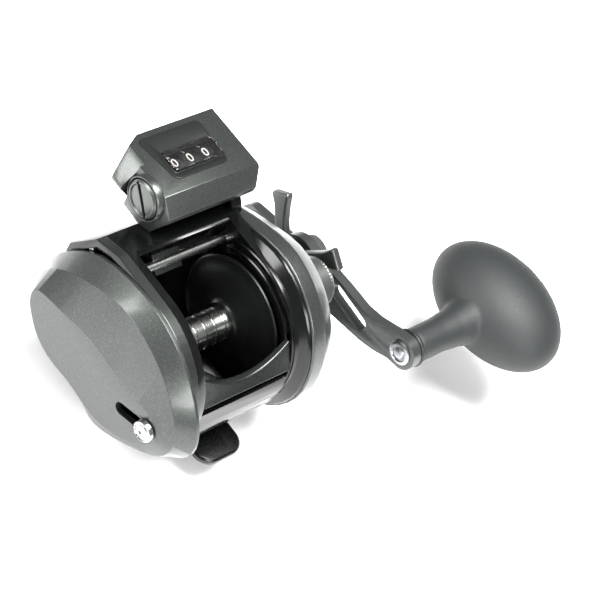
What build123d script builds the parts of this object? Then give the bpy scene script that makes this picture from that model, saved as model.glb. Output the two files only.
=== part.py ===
from build123d import *
from math import acos, atan2, cos, degrees, hypot, pi, radians, sin, tan
import os

# Low-profile trolling reel with a line counter, in millimetres.
# +X is the handle side, +Y points to the rod tip, +Z is away from the rod.
# The origin is the middle of the foot's underside.

os.makedirs("parts", exist_ok=True)

# ---- Driving dimensions ----
SPOOL_AXIS = (-2.0, 23.0)  # Y, Z of the spool's axis
FLANGE_R = 18.6
FLANGE_X = 15.4  # outer face of each spool flange
ARBOR_R = 4.9
WALL_X = 16.0  # inner face of each frame wall
WALL = 2.5
LEFT_RIM_X = -21.5
RIGHT_RIM_X = 20.0
FRAME_R = 24.3
RIM = 2.2
FOOT_LENGTH = 61.0
FOOT_WIDTH = 15.6
FOOT_THICK = 2.0
FOOT_CENTRE_Y = 0.5
SHELL = 1.7

# Gears, all spur: module, teeth
DRIVE_MODULE = 0.45
DRIVE_TEETH = 59
PINION_TEETH = 11
TRAIN_MODULE = 0.5
COG_TEETH = 24
IDLER_TEETH = 23
WORM_TEETH = 20
COUNTER_IDLER_TEETH = 22
COUNTER_TEETH = 22
GEAR_X = 20.3  # inner face of the level-wind and counter gear train
GEAR_WIDTH = 1.6

MAIN_ANGLE = -36.0  # of the main shaft about the spool's axis, in the YZ plane
WORM_AXIS = (20.5, 33.5)
ROD_AXIS = (12.7, 40.5)
COUNTER_AXIS = (28.6, 53.2)
SHAFT_R = 2.5
ARM_X = 55.0  # inner face of the handle arm
ARM_THICK = 3.2
SPINDLE_R = 2.0
ARM_LENGTH = 44.4
ARM_ANGLE = 168.7
KNOB_X = 96.0
KNOB_HALF = (16.4, 23.4, 13.6)
CAP_R = 7.6
CAP_END_X = 48.4
CLEAR = 0.05  # radial running clearance


def polar(centre, radius, angle):
    return (centre[0] + radius * cos(radians(angle)), centre[1] + radius * sin(radians(angle)))


def pitch_r(teeth, module):
    return teeth * module / 2


def across(x):
    """A plane across the reel, square to X, whose local axes are Y and Z."""
    return Plane.YZ.offset(x)


def axis_plane(centre):
    """The XZ-like plane through an axis that runs along X: local x is X, local y is up."""
    return Plane(origin=(0, centre[0], centre[1]), x_dir=(1, 0, 0), z_dir=(0, -1, 0))


def x_axis(centre):
    return Axis((0, centre[0], centre[1]), (1, 0, 0))


def meet(centre_a, radius_a, centre_b, radius_b, side):
    """The point radius_a from centre_a and radius_b from centre_b, on the given side."""
    dy = centre_b[0] - centre_a[0]
    dz = centre_b[1] - centre_a[1]
    gap = hypot(dy, dz)
    turn = acos((radius_a**2 + gap**2 - radius_b**2) / (2 * radius_a * gap))
    return polar(centre_a, radius_a, degrees(atan2(dz, dy) + side * turn))


def mesh_phase(centre_a, phase_a, teeth_a, centre_b, teeth_b):
    """The angle of a tooth of gear b whose gap faces the tooth of gear a on the line of centres."""
    line = degrees(atan2(centre_b[1] - centre_a[1], centre_b[0] - centre_a[0]))
    turned = (line - phase_a) * teeth_a / teeth_b
    return line + 180 + turned + 180 / teeth_b


def tooth_outline(teeth, module, phase, centre, addendum=0.8, play=0.07):
    """One tooth with straight flanks, thinner than its space, on a root circle."""
    pitch = pitch_r(teeth, module)
    root = pitch - 1.1 * module
    tip = pitch + addendum * module
    half = (pi * module / 4 - play) / pitch
    lean = tan(radians(20))
    half_root = (half * pitch + (pitch - root) * lean * 0.8) / root
    half_tip = (half * pitch - (tip - pitch) * lean) / tip
    corners = []
    for radius, turn in ((root - 0.1, -half_root), (tip, -half_tip), (tip, half_tip), (root - 0.1, half_root)):
        corners.append(polar(centre, radius, phase + degrees(turn)))
    return corners


def gear_sketch(teeth, module, phase, centre, bore):
    """A whole gear's outline, made in the active sketch."""
    with Locations(centre):
        Circle(pitch_r(teeth, module) - 1.1 * module)
    for k in range(teeth):
        with BuildLine() as tooth:
            Polyline(*tooth_outline(teeth, module, phase + 360 * k / teeth, centre), close=True)
        make_face(tooth.edges())
    with Locations(centre):
        Circle(bore, mode=Mode.SUBTRACT)


def finish(builder, name):
    builder.part.label = name
    export_step(builder.part, f"parts/{name}.step")


def ring_x(name, centre, x0, x1, outer, inner=0.0):
    """A plain ring or disc whose axis runs along X."""
    with BuildPart() as piece:
        with BuildSketch(across(x0)):
            with Locations(centre):
                Circle(outer)
                if inner:
                    Circle(inner, mode=Mode.SUBTRACT)
        extrude(amount=x1 - x0)
    finish(piece, name)


def turned(name, centre, profile):
    """A turned piece: profile is (x, radius) points from the axis outwards and back."""
    with BuildPart() as piece:
        with BuildSketch(axis_plane(centre)):
            with BuildLine():
                Polyline(*profile, close=True)
            make_face()
        revolve(axis=x_axis(centre))
    finish(piece, name)


# ---- Axes worked out from the gears ----
CENTRE_DISTANCE = pitch_r(DRIVE_TEETH, DRIVE_MODULE) + pitch_r(PINION_TEETH, DRIVE_MODULE)
MAIN_AXIS = polar(SPOOL_AXIS, CENTRE_DISTANCE, MAIN_ANGLE)
COG_R = pitch_r(COG_TEETH, TRAIN_MODULE)
IDLER_R = pitch_r(IDLER_TEETH, TRAIN_MODULE)
WORM_R = pitch_r(WORM_TEETH, TRAIN_MODULE)
COUNTER_IDLER_R = pitch_r(COUNTER_IDLER_TEETH, TRAIN_MODULE)
COUNTER_R = pitch_r(COUNTER_TEETH, TRAIN_MODULE)
IDLER_AXIS = meet(MAIN_AXIS, COG_R + IDLER_R, WORM_AXIS, IDLER_R + WORM_R, -1)
COUNTER_IDLER_AXIS = meet(
    WORM_AXIS, WORM_R + COUNTER_IDLER_R, COUNTER_AXIS, COUNTER_IDLER_R + COUNTER_R, 1
)
KNOB_AXIS = polar(MAIN_AXIS, ARM_LENGTH, ARM_ANGLE)

FRAME_FRONT = (
    (-2.0, 47.3),
    (15.0, 47.8),
    (24.0, 45.0),
    (31.5, 35.0),
    (33.0, 15.0),
    (29.0, 2.0),
    (20.0, -2.0),
    (-2.0, -1.3),
)


def frame_outline():
    """The side plates' outline: a ring about the spool that runs forward to the level wind."""
    with BuildLine() as front:
        Polyline(*FRAME_FRONT, close=True)
    make_face(front.edges())
    with Locations(SPOOL_AXIS):
        Circle(FRAME_R)


HOOD = ((13.4, 47.6), (15.0, 47.8), (24.0, 45.0), (31.5, 35.0), (29.2, 34.0), (22.8, 42.6), (14.4, 45.0))
FRONT_BAR = ((32.8, 15.5), (29.0, 2.0), (20.0, 2.0), (20.0, 4.0), (27.0, 4.4), (29.8, 15.5))
REAR_BAR = ((-25.6, 24.4), (-26.4, 18.0), (-25.0, 12.0), (-20.6, 4.0), (-16.0, 2.0), (-13.0, 2.0),
            (-13.0, 3.9), (-17.6, 4.6), (-22.6, 14.0), (-22.8, 24.4))
DECK = ((-13.0, FOOT_THICK), (20.0, FOOT_THICK), (20.0, 4.0), (-13.0, 4.0))
SCREW_SPOTS = ((-20.0, 36.0), (-20.5, 9.0), (27.5, 8.0), (24.6, 40.2))
FOOT_SCREWS_Y = (-9.0, 11.0)

# ---- Frame ----
with BuildPart() as frame:
    with BuildSketch(across(-WALL_X - WALL)):
        frame_outline()
        with Locations(SPOOL_AXIS):
            Circle(FLANGE_R + 0.7, mode=Mode.SUBTRACT)
    extrude(amount=WALL)
    with BuildSketch(across(LEFT_RIM_X)):
        frame_outline()
        offset(amount=-RIM, mode=Mode.SUBTRACT)
    extrude(amount=-WALL_X - WALL - LEFT_RIM_X)
    with BuildSketch(across(WALL_X)):
        frame_outline()
        with Locations(SPOOL_AXIS):
            Circle(3.6, mode=Mode.SUBTRACT)
    extrude(amount=WALL)
    with BuildSketch(across(WALL_X + WALL)):
        frame_outline()
        offset(amount=-RIM, mode=Mode.SUBTRACT)
    extrude(amount=RIGHT_RIM_X - WALL_X - WALL)
    for bridge in (HOOD, FRONT_BAR, REAR_BAR, DECK):
        with BuildSketch(across(-WALL_X)):
            with BuildLine():
                Polyline(*bridge, close=True)
            make_face()
        extrude(amount=2 * WALL_X)
    # worm shaft and guide rod seats, and the main shaft's inner bearing seat
    with BuildSketch(across(-WALL_X - WALL)):
        with Locations(WORM_AXIS):
            Circle(2.0 + CLEAR)
    extrude(amount=2 * (WALL_X + WALL), mode=Mode.SUBTRACT)
    with BuildSketch(across(-WALL_X - 1.5)):
        with Locations(ROD_AXIS):
            Circle(1.4)
    extrude(amount=2 * WALL_X + 3.0, mode=Mode.SUBTRACT)
    with BuildSketch(across(WALL_X + 1.0)):
        with Locations(MAIN_AXIS):
            Circle(2.0 + CLEAR)
        with Locations(IDLER_AXIS):
            Circle(1.2)
        with Locations(COUNTER_IDLER_AXIS):
            Circle(1.2)
    extrude(amount=WALL - 1.0, mode=Mode.SUBTRACT)
    # threads for the foot's screws, through the deck
    with BuildSketch(Plane.XY.offset(FOOT_THICK)):
        with Locations([(0, y) for y in FOOT_SCREWS_Y]):
            Circle(1.0)
    extrude(amount=2.0, mode=Mode.SUBTRACT)
    # a way for the counter's gears through the top of the rim
    with BuildSketch(across(WALL_X + WALL)):
        with Locations(COUNTER_IDLER_AXIS):
            Circle(COUNTER_IDLER_R + 1.1)
    extrude(amount=RIGHT_RIM_X - WALL_X - WALL, mode=Mode.SUBTRACT)
finish(frame, "frame")

# ---- Foot, with two countersunk screws up into the deck ----
with BuildPart() as foot:
    with BuildSketch(Plane.XY):
        with Locations((0, FOOT_CENTRE_Y)):
            RectangleRounded(FOOT_WIDTH, FOOT_LENGTH, 5.0)
    extrude(amount=FOOT_THICK)
    chamfer(foot.faces().sort_by(Axis.Z)[-1].edges(), 0.6)
    with BuildSketch(Plane.XY):
        with Locations([(0, y) for y in FOOT_SCREWS_Y]):
            Circle(2.1)
    extrude(amount=1.0, mode=Mode.SUBTRACT)
    with BuildSketch(Plane.XY):
        with Locations([(0, y) for y in FOOT_SCREWS_Y]):
            Circle(1.0)
    extrude(amount=FOOT_THICK, mode=Mode.SUBTRACT)
finish(foot, "foot")

with BuildPart() as foot_screws:
    for y in FOOT_SCREWS_Y:
        with BuildSketch(Plane.XY.offset(0.2)):
            with Locations((0, y)):
                Circle(2.0)
        extrude(amount=0.8)
        with BuildSketch(Plane.XY.offset(1.0)):
            with Locations((0, y)):
                Circle(1.0)
        extrude(amount=2.8)
finish(foot_screws, "foot_screws")

# ---- Palm side: bearing plate, clicker and cover ----
PALM_PLATE_X = -20.6
PALM_SKIRT_X = -22.5
PALM_SHOULDER_X = -27.5
PALM_OUTLINE = (
    (2.0, 47.4),
    (-12.0, 45.2),
    (-23.0, 38.5),
    (-30.5, 29.5),
    (-32.4, 20.5),
    (-27.2, 12.4),
    (-18.0, 4.6),
    (-8.0, -1.8),
    (0.0, -4.4),
    (10.0, -2.6),
    (20.0, -2.4),
    (28.6, 1.6),
    (32.6, 9.0),
    (34.9, 18.0),
    (32.5, 30.0),
    (20.0, 43.0),
)
PALM_SHOULDER = (
    (3.5, 43.6),
    (-9.0, 42.4),
    (-19.0, 37.6),
    (-26.0, 31.0),
    (-29.4, 23.5),
    (-27.0, 15.6),
    (-18.6, 8.4),
    (-8.5, 2.4),
    (-2.0, 0.9),
    (8.0, 4.4),
    (16.0, 4.0),
    (24.6, 7.4),
    (29.4, 14.8),
    (31.8, 24.0),
    (27.5, 31.5),
    (17.0, 38.5),
)
PALM_FACE = (
    (5.4, 29.8),
    (-7.0, 28.0),
    (-15.5, 27.6),
    (-22.0, 26.4),
    (-25.2, 21.5),
    (-21.0, 15.0),
    (-13.5, 10.0),
    (-6.2, 7.8),
    (0.0, 8.6),
    (7.0, 9.8),
    (14.0, 10.2),
    (20.2, 12.6),
    (25.2, 17.6),
    (27.6, 22.5),
    (26.0, 27.0),
    (16.0, 28.6),
)
# The palm face leans, so that the cover is deeper at the front than at the back.
PALM_FACE_X = -31.5
FACE_LEAN = 0.075
PALM_FACE_PLANE = Plane(origin=(PALM_FACE_X, 0, 0), x_dir=(-FACE_LEAN, 1, 0), z_dir=(1, FACE_LEAN, 0))
SIDE_OUTLINE = (
    (-2.0, 50.5),
    (-14.0, 47.6),
    (-23.5, 40.0),
    (-29.0, 29.0),
    (-29.2, 16.0),
    (-23.0, 4.5),
    (-12.0, -2.8),
    (4.0, -5.6),
    (20.0, -4.4),
    (30.0, 0.5),
    (36.0, 9.5),
    (37.2, 20.0),
    (34.6, 30.0),
    (26.0, 40.0),
    (13.0, 46.6),
)
SIDE_FACE = (
    (-2.0, 37.0),
    (-9.0, 35.0),
    (-14.5, 30.5),
    (-17.0, 24.0),
    (-16.0, 16.5),
    (-11.0, 8.0),
    (-4.0, 1.6),
    (6.0, -1.2),
    (16.0, -1.0),
    (23.0, 2.6),
    (27.0, 9.0),
    (27.6, 17.5),
    (25.0, 25.0),
    (19.0, 31.0),
    (9.0, 35.6),
)


def smooth_outline(points):
    with BuildLine() as loop:
        Spline(*points, periodic=True)
    make_face(loop.edges())


def shrink(points, amount):
    """The same outline drawn in towards its middle by about the given amount."""
    middle = (sum(p[0] for p in points) / len(points), sum(p[1] for p in points) / len(points))
    moved = []
    for y, z in points:
        reach = hypot(y - middle[0], z - middle[1])
        share = (reach - amount) / reach
        moved.append((middle[0] + (y - middle[0]) * share, middle[1] + (z - middle[1]) * share))
    return moved


def shell_block(levels, inset, mode):
    """Straight walls lofted through levels of (plane, outline), all drawn in by inset."""
    for (plane_a, points_a), (plane_b, points_b) in zip(levels, levels[1:]):
        with BuildSketch(plane_a) as lower:
            smooth_outline(shrink(points_a, inset))
        with BuildSketch(plane_b) as upper:
            smooth_outline(shrink(points_b, inset))
        loft([lower.sketch, upper.sketch], ruled=True, mode=mode)


# The clicker's slot runs rearwards and slightly up in the flat of the palm cover.
SLOT_FRONT = (-11.9, 19.7)
SLOT_REAR = (-21.4, 22.3)
SLOT_ANGLE = degrees(atan2(SLOT_REAR[1] - SLOT_FRONT[1], SLOT_REAR[0] - SLOT_FRONT[0]))
SLOT_MIDDLE = ((SLOT_FRONT[0] + SLOT_REAR[0]) / 2, (SLOT_FRONT[1] + SLOT_REAR[1]) / 2)
SLOT_SPAN = hypot(SLOT_REAR[0] - SLOT_FRONT[0], SLOT_REAR[1] - SLOT_FRONT[1])
CLICK_POST_R = 1.6
CLICK_BUTTON_R = 3.2


def palm_levels(depth):
    """The cover's levels, with its face set back by depth."""
    return (
        (across(LEFT_RIM_X), PALM_OUTLINE),
        (across(PALM_SKIRT_X), PALM_OUTLINE),
        (across(PALM_SHOULDER_X), PALM_SHOULDER),
        (PALM_FACE_PLANE.offset(depth), PALM_FACE),
    )


with BuildPart() as palm_cover:
    shell_block(palm_levels(0.0), 0.0, Mode.ADD)
    shell_block(palm_levels(SHELL), SHELL, Mode.SUBTRACT)
    with BuildSketch(PALM_FACE_PLANE.offset(-0.5)):
        with Locations(SLOT_MIDDLE):
            SlotCenterToCenter(SLOT_SPAN, 2 * CLICK_POST_R + 0.8, rotation=SLOT_ANGLE)
    extrude(amount=SHELL + 1.0, mode=Mode.SUBTRACT)
finish(palm_cover, "palm_cover")

with BuildPart() as palm_plate:
    with BuildSketch(across(PALM_PLATE_X)):
        with Locations(SPOOL_AXIS):
            Circle(FLANGE_R + 1.8)
            Circle(4.05, mode=Mode.SUBTRACT)
    extrude(amount=-WALL_X - WALL - PALM_PLATE_X)
    with BuildSketch(across(PALM_PLATE_X - 3.4)):
        with Locations(SPOOL_AXIS):
            Circle(6.2)
            Circle(4.05, mode=Mode.SUBTRACT)
    extrude(amount=3.4)
    with BuildSketch(across(PALM_PLATE_X - 4.4)):
        with Locations(SPOOL_AXIS):
            Circle(6.2)
    extrude(amount=1.0)
finish(palm_plate, "palm_plate")
ring_x("palm_bearing", SPOOL_AXIS, -23.0, -19.6, 4.0, 1.5 + CLEAR)
ring_x("palm_shaft_shim", SPOOL_AXIS, -23.95, -23.4, 2.6)

with BuildPart() as palm_screws:
    for spot in SCREW_SPOTS:
        with BuildSketch(across(LEFT_RIM_X + 0.4)):
            with Locations(spot):
                Circle(1.0)
        extrude(amount=3.0)
finish(palm_screws, "palm_screws")

with BuildPart() as clicker_button:
    with BuildSketch(PALM_FACE_PLANE.offset(-2.2)):
        with Locations(SLOT_REAR):
            Circle(CLICK_BUTTON_R)
    extrude(amount=2.0)
    chamfer(clicker_button.faces().sort_by(Axis.X)[0].edges(), 0.6)
    with BuildSketch(PALM_FACE_PLANE.offset(-0.2)):
        with Locations(SLOT_REAR):
            Circle(CLICK_POST_R)
    extrude(amount=4.0)
    with BuildSketch(PALM_FACE_PLANE.offset(SHELL + 0.3)):
        with Locations(SLOT_REAR):
            Rectangle(7.0, 5.2, rotation=SLOT_ANGLE)
    extrude(amount=1.2)
finish(clicker_button, "clicker_button")

# The ratchet sits on the spool's shaft and the tongue slides to its teeth with the button.
CLICK_TEETH = 16
CLICK_X = -18.2
with BuildPart() as clicker_ratchet:
    with BuildSketch(across(CLICK_X)):
        with Locations(SPOOL_AXIS):
            Circle(5.0)
        with Locations(SPOOL_AXIS):
            with PolarLocations(5.0, CLICK_TEETH):
                RegularPolygon(1.1, 3)
            Circle(2.0, mode=Mode.SUBTRACT)
    extrude(amount=1.2)
finish(clicker_ratchet, "clicker_ratchet")

# ---- Spool ----
with BuildPart() as spool:
    with BuildSketch(axis_plane(SPOOL_AXIS)):
        with BuildLine():
            Polyline(
                (-FLANGE_X, 2.0),
                (-FLANGE_X, FLANGE_R - 1.0),
                (-FLANGE_X + 0.4, FLANGE_R),
                (-FLANGE_X + 1.2, FLANGE_R),
                (-FLANGE_X + 1.2, FLANGE_R - 1.1),
                (-11.4, 6.4),
                (-10.6, 5.9),
                (-10.6, 3.9),
                (10.6, 3.9),
                (10.6, 5.9),
                (11.4, 6.4),
                (FLANGE_X - 1.2, FLANGE_R - 1.1),
                (FLANGE_X - 1.2, FLANGE_R),
                (FLANGE_X - 0.4, FLANGE_R),
                (FLANGE_X, FLANGE_R - 1.0),
                (FLANGE_X, 2.0),
                close=True,
            )
        make_face()
    revolve(axis=x_axis(SPOOL_AXIS))
finish(spool, "spool")

with BuildPart() as spool_arbor:
    with BuildSketch(axis_plane(SPOOL_AXIS)):
        with Locations((0, (3.9 + ARBOR_R) / 2)):
            Rectangle(21.2, ARBOR_R - 3.9)
        for k in range(6):
            with Locations((-8.5 + 3.4 * k, ARBOR_R)):
                Rectangle(0.5, 0.5, mode=Mode.SUBTRACT)
    revolve(axis=x_axis(SPOOL_AXIS))
finish(spool_arbor, "spool_arbor")

turned(
    "spool_shaft",
    SPOOL_AXIS,
    [(-23.4, 0), (-23.4, 1.5), (-17.6, 1.5), (-17.6, 2.0), (17.6, 2.0), (17.6, 1.2), (43.0, 1.2), (43.0, 0)],
)

# ---- Handle side: pinion, yoke, drive gear and drag ----
PINION_X = 24.0
PINION_END_X = 31.6
DRIVE_X = 25.4
DRIVE_WIDTH = 3.0
PINION_PHASE = 0.0
DRIVE_PHASE = mesh_phase(SPOOL_AXIS, PINION_PHASE, PINION_TEETH, MAIN_AXIS, DRIVE_TEETH)

with BuildPart() as pinion_gear:
    with BuildSketch(across(PINION_X)):
        gear_sketch(PINION_TEETH, DRIVE_MODULE, PINION_PHASE, SPOOL_AXIS, 1.2 + CLEAR)
    extrude(amount=PINION_END_X - PINION_X)
    with BuildSketch(across(22.4)):
        with Locations(SPOOL_AXIS):
            Circle(2.0)
            Circle(1.2 + CLEAR, mode=Mode.SUBTRACT)
    extrude(amount=PINION_X - 22.4)
    with BuildSketch(across(19.2)):
        with Locations(SPOOL_AXIS):
            Circle(3.0)
            Circle(1.2 + CLEAR, mode=Mode.SUBTRACT)
    extrude(amount=22.4 - 19.2)
finish(pinion_gear, "pinion_gear")

YOKE_ANGLE = MAIN_ANGLE + 90
YOKE_POSTS = (polar(SPOOL_AXIS, 7.4, YOKE_ANGLE), polar(SPOOL_AXIS, 7.4, YOKE_ANGLE + 180))
with BuildPart() as pinion_yoke:
    with BuildSketch(across(22.6)):
        with Locations(SPOOL_AXIS):
            Rectangle(4.8, 19.6, rotation=MAIN_ANGLE)
            Circle(2.0 + 0.1, mode=Mode.SUBTRACT)
        with Locations(YOKE_POSTS):
            Circle(1.1 + CLEAR, mode=Mode.SUBTRACT)
    extrude(amount=1.2)
finish(pinion_yoke, "pinion_yoke")

with BuildPart() as yoke_posts:
    for post in YOKE_POSTS:
        with BuildSketch(across(WALL_X + WALL)):
            with Locations(post):
                Circle(1.1)
        extrude(amount=11.5)
finish(yoke_posts, "yoke_posts")

with BuildPart() as yoke_springs:
    for post in YOKE_POSTS:
        with BuildSketch(across(25.2)):
            with Locations(post):
                Circle(1.9)
                Circle(1.25, mode=Mode.SUBTRACT)
        extrude(amount=3.6)
finish(yoke_springs, "yoke_springs")

with BuildPart() as drive_gear:
    with BuildSketch(across(DRIVE_X)):
        gear_sketch(DRIVE_TEETH, DRIVE_MODULE, DRIVE_PHASE, MAIN_AXIS, SHAFT_R)
    extrude(amount=DRIVE_WIDTH)
    with BuildSketch(across(DRIVE_X + 1.2)):
        with Locations(MAIN_AXIS):
            Circle(10.6)
            Circle(SHAFT_R, mode=Mode.SUBTRACT)
    extrude(amount=DRIVE_WIDTH - 1.2, mode=Mode.SUBTRACT)
finish(drive_gear, "drive_gear")

with BuildPart() as drag_washers:
    for x in (26.7, 28.3):
        with BuildSketch(across(x)):
            with Locations(MAIN_AXIS):
                Circle(10.2)
                Circle(SHAFT_R, mode=Mode.SUBTRACT)
        extrude(amount=0.7)
finish(drag_washers, "drag_washers")
ring_x("drag_plate", MAIN_AXIS, 27.5, 28.2, 10.2, SHAFT_R)
ring_x("pressure_plate", MAIN_AXIS, 29.1, 30.3, 10.2, SHAFT_R)
turned(
    "main_shaft",
    MAIN_AXIS,
    [(17.2, 0), (17.2, 2.0), (19.6, 2.0), (19.6, SHAFT_R), (61.0, SHAFT_R), (61.0, 0)],
)

# ---- Level wind gear train, on one plane just outside the frame's wall ----
COG_PHASE = 0.0
IDLER_PHASE = mesh_phase(MAIN_AXIS, COG_PHASE, COG_TEETH, IDLER_AXIS, IDLER_TEETH)
WORM_PHASE = mesh_phase(IDLER_AXIS, IDLER_PHASE, IDLER_TEETH, WORM_AXIS, WORM_TEETH)
COUNTER_IDLER_PHASE = mesh_phase(WORM_AXIS, WORM_PHASE, WORM_TEETH, COUNTER_IDLER_AXIS, COUNTER_IDLER_TEETH)
COUNTER_PHASE = mesh_phase(
    COUNTER_IDLER_AXIS, COUNTER_IDLER_PHASE, COUNTER_IDLER_TEETH, COUNTER_AXIS, COUNTER_TEETH
)
TRAIN = (
    ("main_cog", MAIN_AXIS, COG_TEETH, COG_PHASE, SHAFT_R),
    ("idler_gear", IDLER_AXIS, IDLER_TEETH, IDLER_PHASE, 1.2 + CLEAR),
    ("worm_gear", WORM_AXIS, WORM_TEETH, WORM_PHASE, 1.5),
    ("counter_idler_gear", COUNTER_IDLER_AXIS, COUNTER_IDLER_TEETH, COUNTER_IDLER_PHASE, 1.2 + CLEAR),
    ("counter_gear", COUNTER_AXIS, COUNTER_TEETH, COUNTER_PHASE, 1.0),
)
for name, centre, teeth, phase, bore in TRAIN:
    with BuildPart() as train_gear:
        with BuildSketch(across(GEAR_X)):
            gear_sketch(teeth, TRAIN_MODULE, phase, centre, bore)
        extrude(amount=GEAR_WIDTH)
    finish(train_gear, name)
with BuildPart() as gear_pins:
    with BuildSketch(across(WALL_X + 1.0)):
        with Locations(IDLER_AXIS, COUNTER_IDLER_AXIS):
            Circle(1.2)
    extrude(amount=GEAR_X + GEAR_WIDTH + 0.3 - WALL_X - 1.0)
finish(gear_pins, "gear_pins")

# ---- Handle side cover with its two bosses ----
SIDE_FACE_X = 37.0
CAP_BOSS_R = 6.2
CLUTCH_BOSS_R = 7.7
BEARING_R = 4.0
CLUTCH_R = 6.0


def side_levels(depth):
    """The cover's levels, with its face set back by depth."""
    return (
        (across(RIGHT_RIM_X), SIDE_OUTLINE),
        (across(24.5), SIDE_OUTLINE),
        (across(SIDE_FACE_X - depth), SIDE_FACE),
    )


with BuildPart() as side_cover:
    shell_block(side_levels(0.0), 0.0, Mode.ADD)
    shell_block(side_levels(SHELL), SHELL, Mode.SUBTRACT)
    with BuildSketch(across(32.0)):
        with Locations(SPOOL_AXIS):
            Circle(CAP_BOSS_R)
    extrude(amount=12.0)
    with BuildSketch(across(33.0)):
        with Locations(MAIN_AXIS):
            Circle(CLUTCH_BOSS_R)
    extrude(amount=9.2)
    with BuildSketch(across(32.0)):
        with Locations(SPOOL_AXIS):
            Circle(BEARING_R)
        with Locations(MAIN_AXIS):
            Circle(CLUTCH_R)
    extrude(amount=12.0, mode=Mode.SUBTRACT)
    with BuildSketch(across(RIGHT_RIM_X)):
        with Locations(COUNTER_IDLER_AXIS):
            Circle(COUNTER_IDLER_R + 1.1)
    extrude(amount=2.6, mode=Mode.SUBTRACT)
finish(side_cover, "side_cover")

with BuildPart() as side_screws:
    for spot in SCREW_SPOTS[:3]:
        with BuildSketch(across(RIGHT_RIM_X - 4.0)):
            with Locations(spot):
                Circle(1.0)
        extrude(amount=4.0)
finish(side_screws, "side_screws")

ring_x("pinion_bearing", SPOOL_AXIS, 33.2, 35.6, BEARING_R, 1.2 + CLEAR)
ring_x("shaft_bearing", SPOOL_AXIS, 40.2, 42.6, BEARING_R, 1.2 + CLEAR)
ring_x("anti_reverse_bearing", MAIN_AXIS, 34.0, 41.8, CLUTCH_R, 4.05 + CLEAR)
ring_x("anti_reverse_sleeve", MAIN_AXIS, 30.4, 46.6, 4.05, SHAFT_R)

# ---- Cast control: a cap over the boss, with a friction shim on the shaft's end ----
turned(
    "cast_control_cap",
    SPOOL_AXIS,
    [
        (39.0, CAP_BOSS_R + CLEAR),
        (39.0, CAP_R - 0.6),
        (39.6, CAP_R),
        (CAP_END_X - 0.8, CAP_R),
        (CAP_END_X, CAP_R - 0.8),
        (CAP_END_X, 0),
        (CAP_END_X - 1.8, 0),
        (CAP_END_X - 1.8, CAP_BOSS_R + CLEAR),
    ],
)
ring_x("cast_control_shim", SPOOL_AXIS, 43.2, 44.0, 3.0)

# ---- Star drag ----
STAR_X = 50.0
STAR_ARMS = 5
STAR_REACH = 23.0
STAR_FIRST = 55.0
with BuildPart() as star_drag:
    with BuildSketch(across(47.0)):
        with Locations(MAIN_AXIS):
            Circle(6.4)
            Circle(SHAFT_R + CLEAR, mode=Mode.SUBTRACT)
    extrude(amount=7.0)
    with BuildSketch(across(STAR_X)):
        for k in range(STAR_ARMS):
            angle = STAR_FIRST + 360 * k / STAR_ARMS
            with BuildLine():
                Spline(
                    polar(MAIN_AXIS, 5.0, angle - 38),
                    polar(MAIN_AXIS, 13.0, angle - 16),
                    polar(MAIN_AXIS, STAR_REACH, angle - 8),
                )
                Line(polar(MAIN_AXIS, STAR_REACH, angle - 8), polar(MAIN_AXIS, STAR_REACH, angle + 8))
                Spline(
                    polar(MAIN_AXIS, STAR_REACH, angle + 8),
                    polar(MAIN_AXIS, 13.0, angle + 5),
                    polar(MAIN_AXIS, 5.0, angle + 6),
                )
                Line(polar(MAIN_AXIS, 5.0, angle + 6), polar(MAIN_AXIS, 5.0, angle - 38))
            make_face()
    extrude(amount=2.6)
finish(star_drag, "star_drag")

# ---- Handle: slotted arm, nut and cap ----
ARM_FAR = 25.5
ARM_FAR_WIDTH = 9.2
ARM_END_R = 5.4
ARM_SLOT = 5.2
ARM_SLOT_ENDS = ((17.1, -1.1), (27.9, 2.2))
HUB_R = 8.0
# The arm's two edges, along and across it from the hub: it bends on its way to the knob.
ARM_OUTLINE = (
    (0.0, -7.9),
    (6.0, -6.1),
    (13.5, -5.7),
    (20.0, -4.5),
    (27.5, -2.8),
    (33.0, -3.0),
    (40.0, -4.6),
    (44.4, -5.3),
    (44.4, 5.3),
    (40.0, 5.4),
    (34.5, 6.9),
    (29.0, 7.5),
    (19.0, 7.4),
    (8.0, 7.5),
    (0.0, 7.9),
)
ARM_PLANE = Plane(
    origin=(ARM_X, *MAIN_AXIS),
    x_dir=(0, cos(radians(ARM_ANGLE)), sin(radians(ARM_ANGLE))),
    z_dir=(1, 0, 0),
)
ARM_SLOT_RUN = ARM_SLOT_ENDS[1][0] - ARM_SLOT_ENDS[0][0]
ARM_SLOT_RISE = ARM_SLOT_ENDS[1][1] - ARM_SLOT_ENDS[0][1]
ARM_SLOT_MIDDLE = (ARM_SLOT_ENDS[0][0] + ARM_SLOT_RUN / 2, ARM_SLOT_ENDS[0][1] + ARM_SLOT_RISE / 2)
with BuildPart() as handle_arm:
    with BuildSketch(ARM_PLANE):
        with BuildLine():
            Polyline(*ARM_OUTLINE, close=True)
        make_face()
        Circle(HUB_R)
        with Locations((ARM_LENGTH, 0)):
            Circle(ARM_END_R)
        with Locations(((ARM_FAR_WIDTH / 2 - ARM_FAR) / 2, 0)):
            SlotCenterToCenter(ARM_FAR - ARM_FAR_WIDTH / 2, ARM_FAR_WIDTH)
        Circle(SHAFT_R, mode=Mode.SUBTRACT)
        with Locations((ARM_LENGTH, 0)):
            Circle(SPINDLE_R, mode=Mode.SUBTRACT)
        with Locations(ARM_SLOT_MIDDLE):
            SlotCenterToCenter(
                hypot(ARM_SLOT_RUN, ARM_SLOT_RISE),
                ARM_SLOT,
                rotation=degrees(atan2(ARM_SLOT_RISE, ARM_SLOT_RUN)),
                mode=Mode.SUBTRACT,
            )
    extrude(amount=ARM_THICK)
    chamfer(handle_arm.faces().sort_by(Axis.X)[-1].outer_wire().edges(), 0.5)
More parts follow.
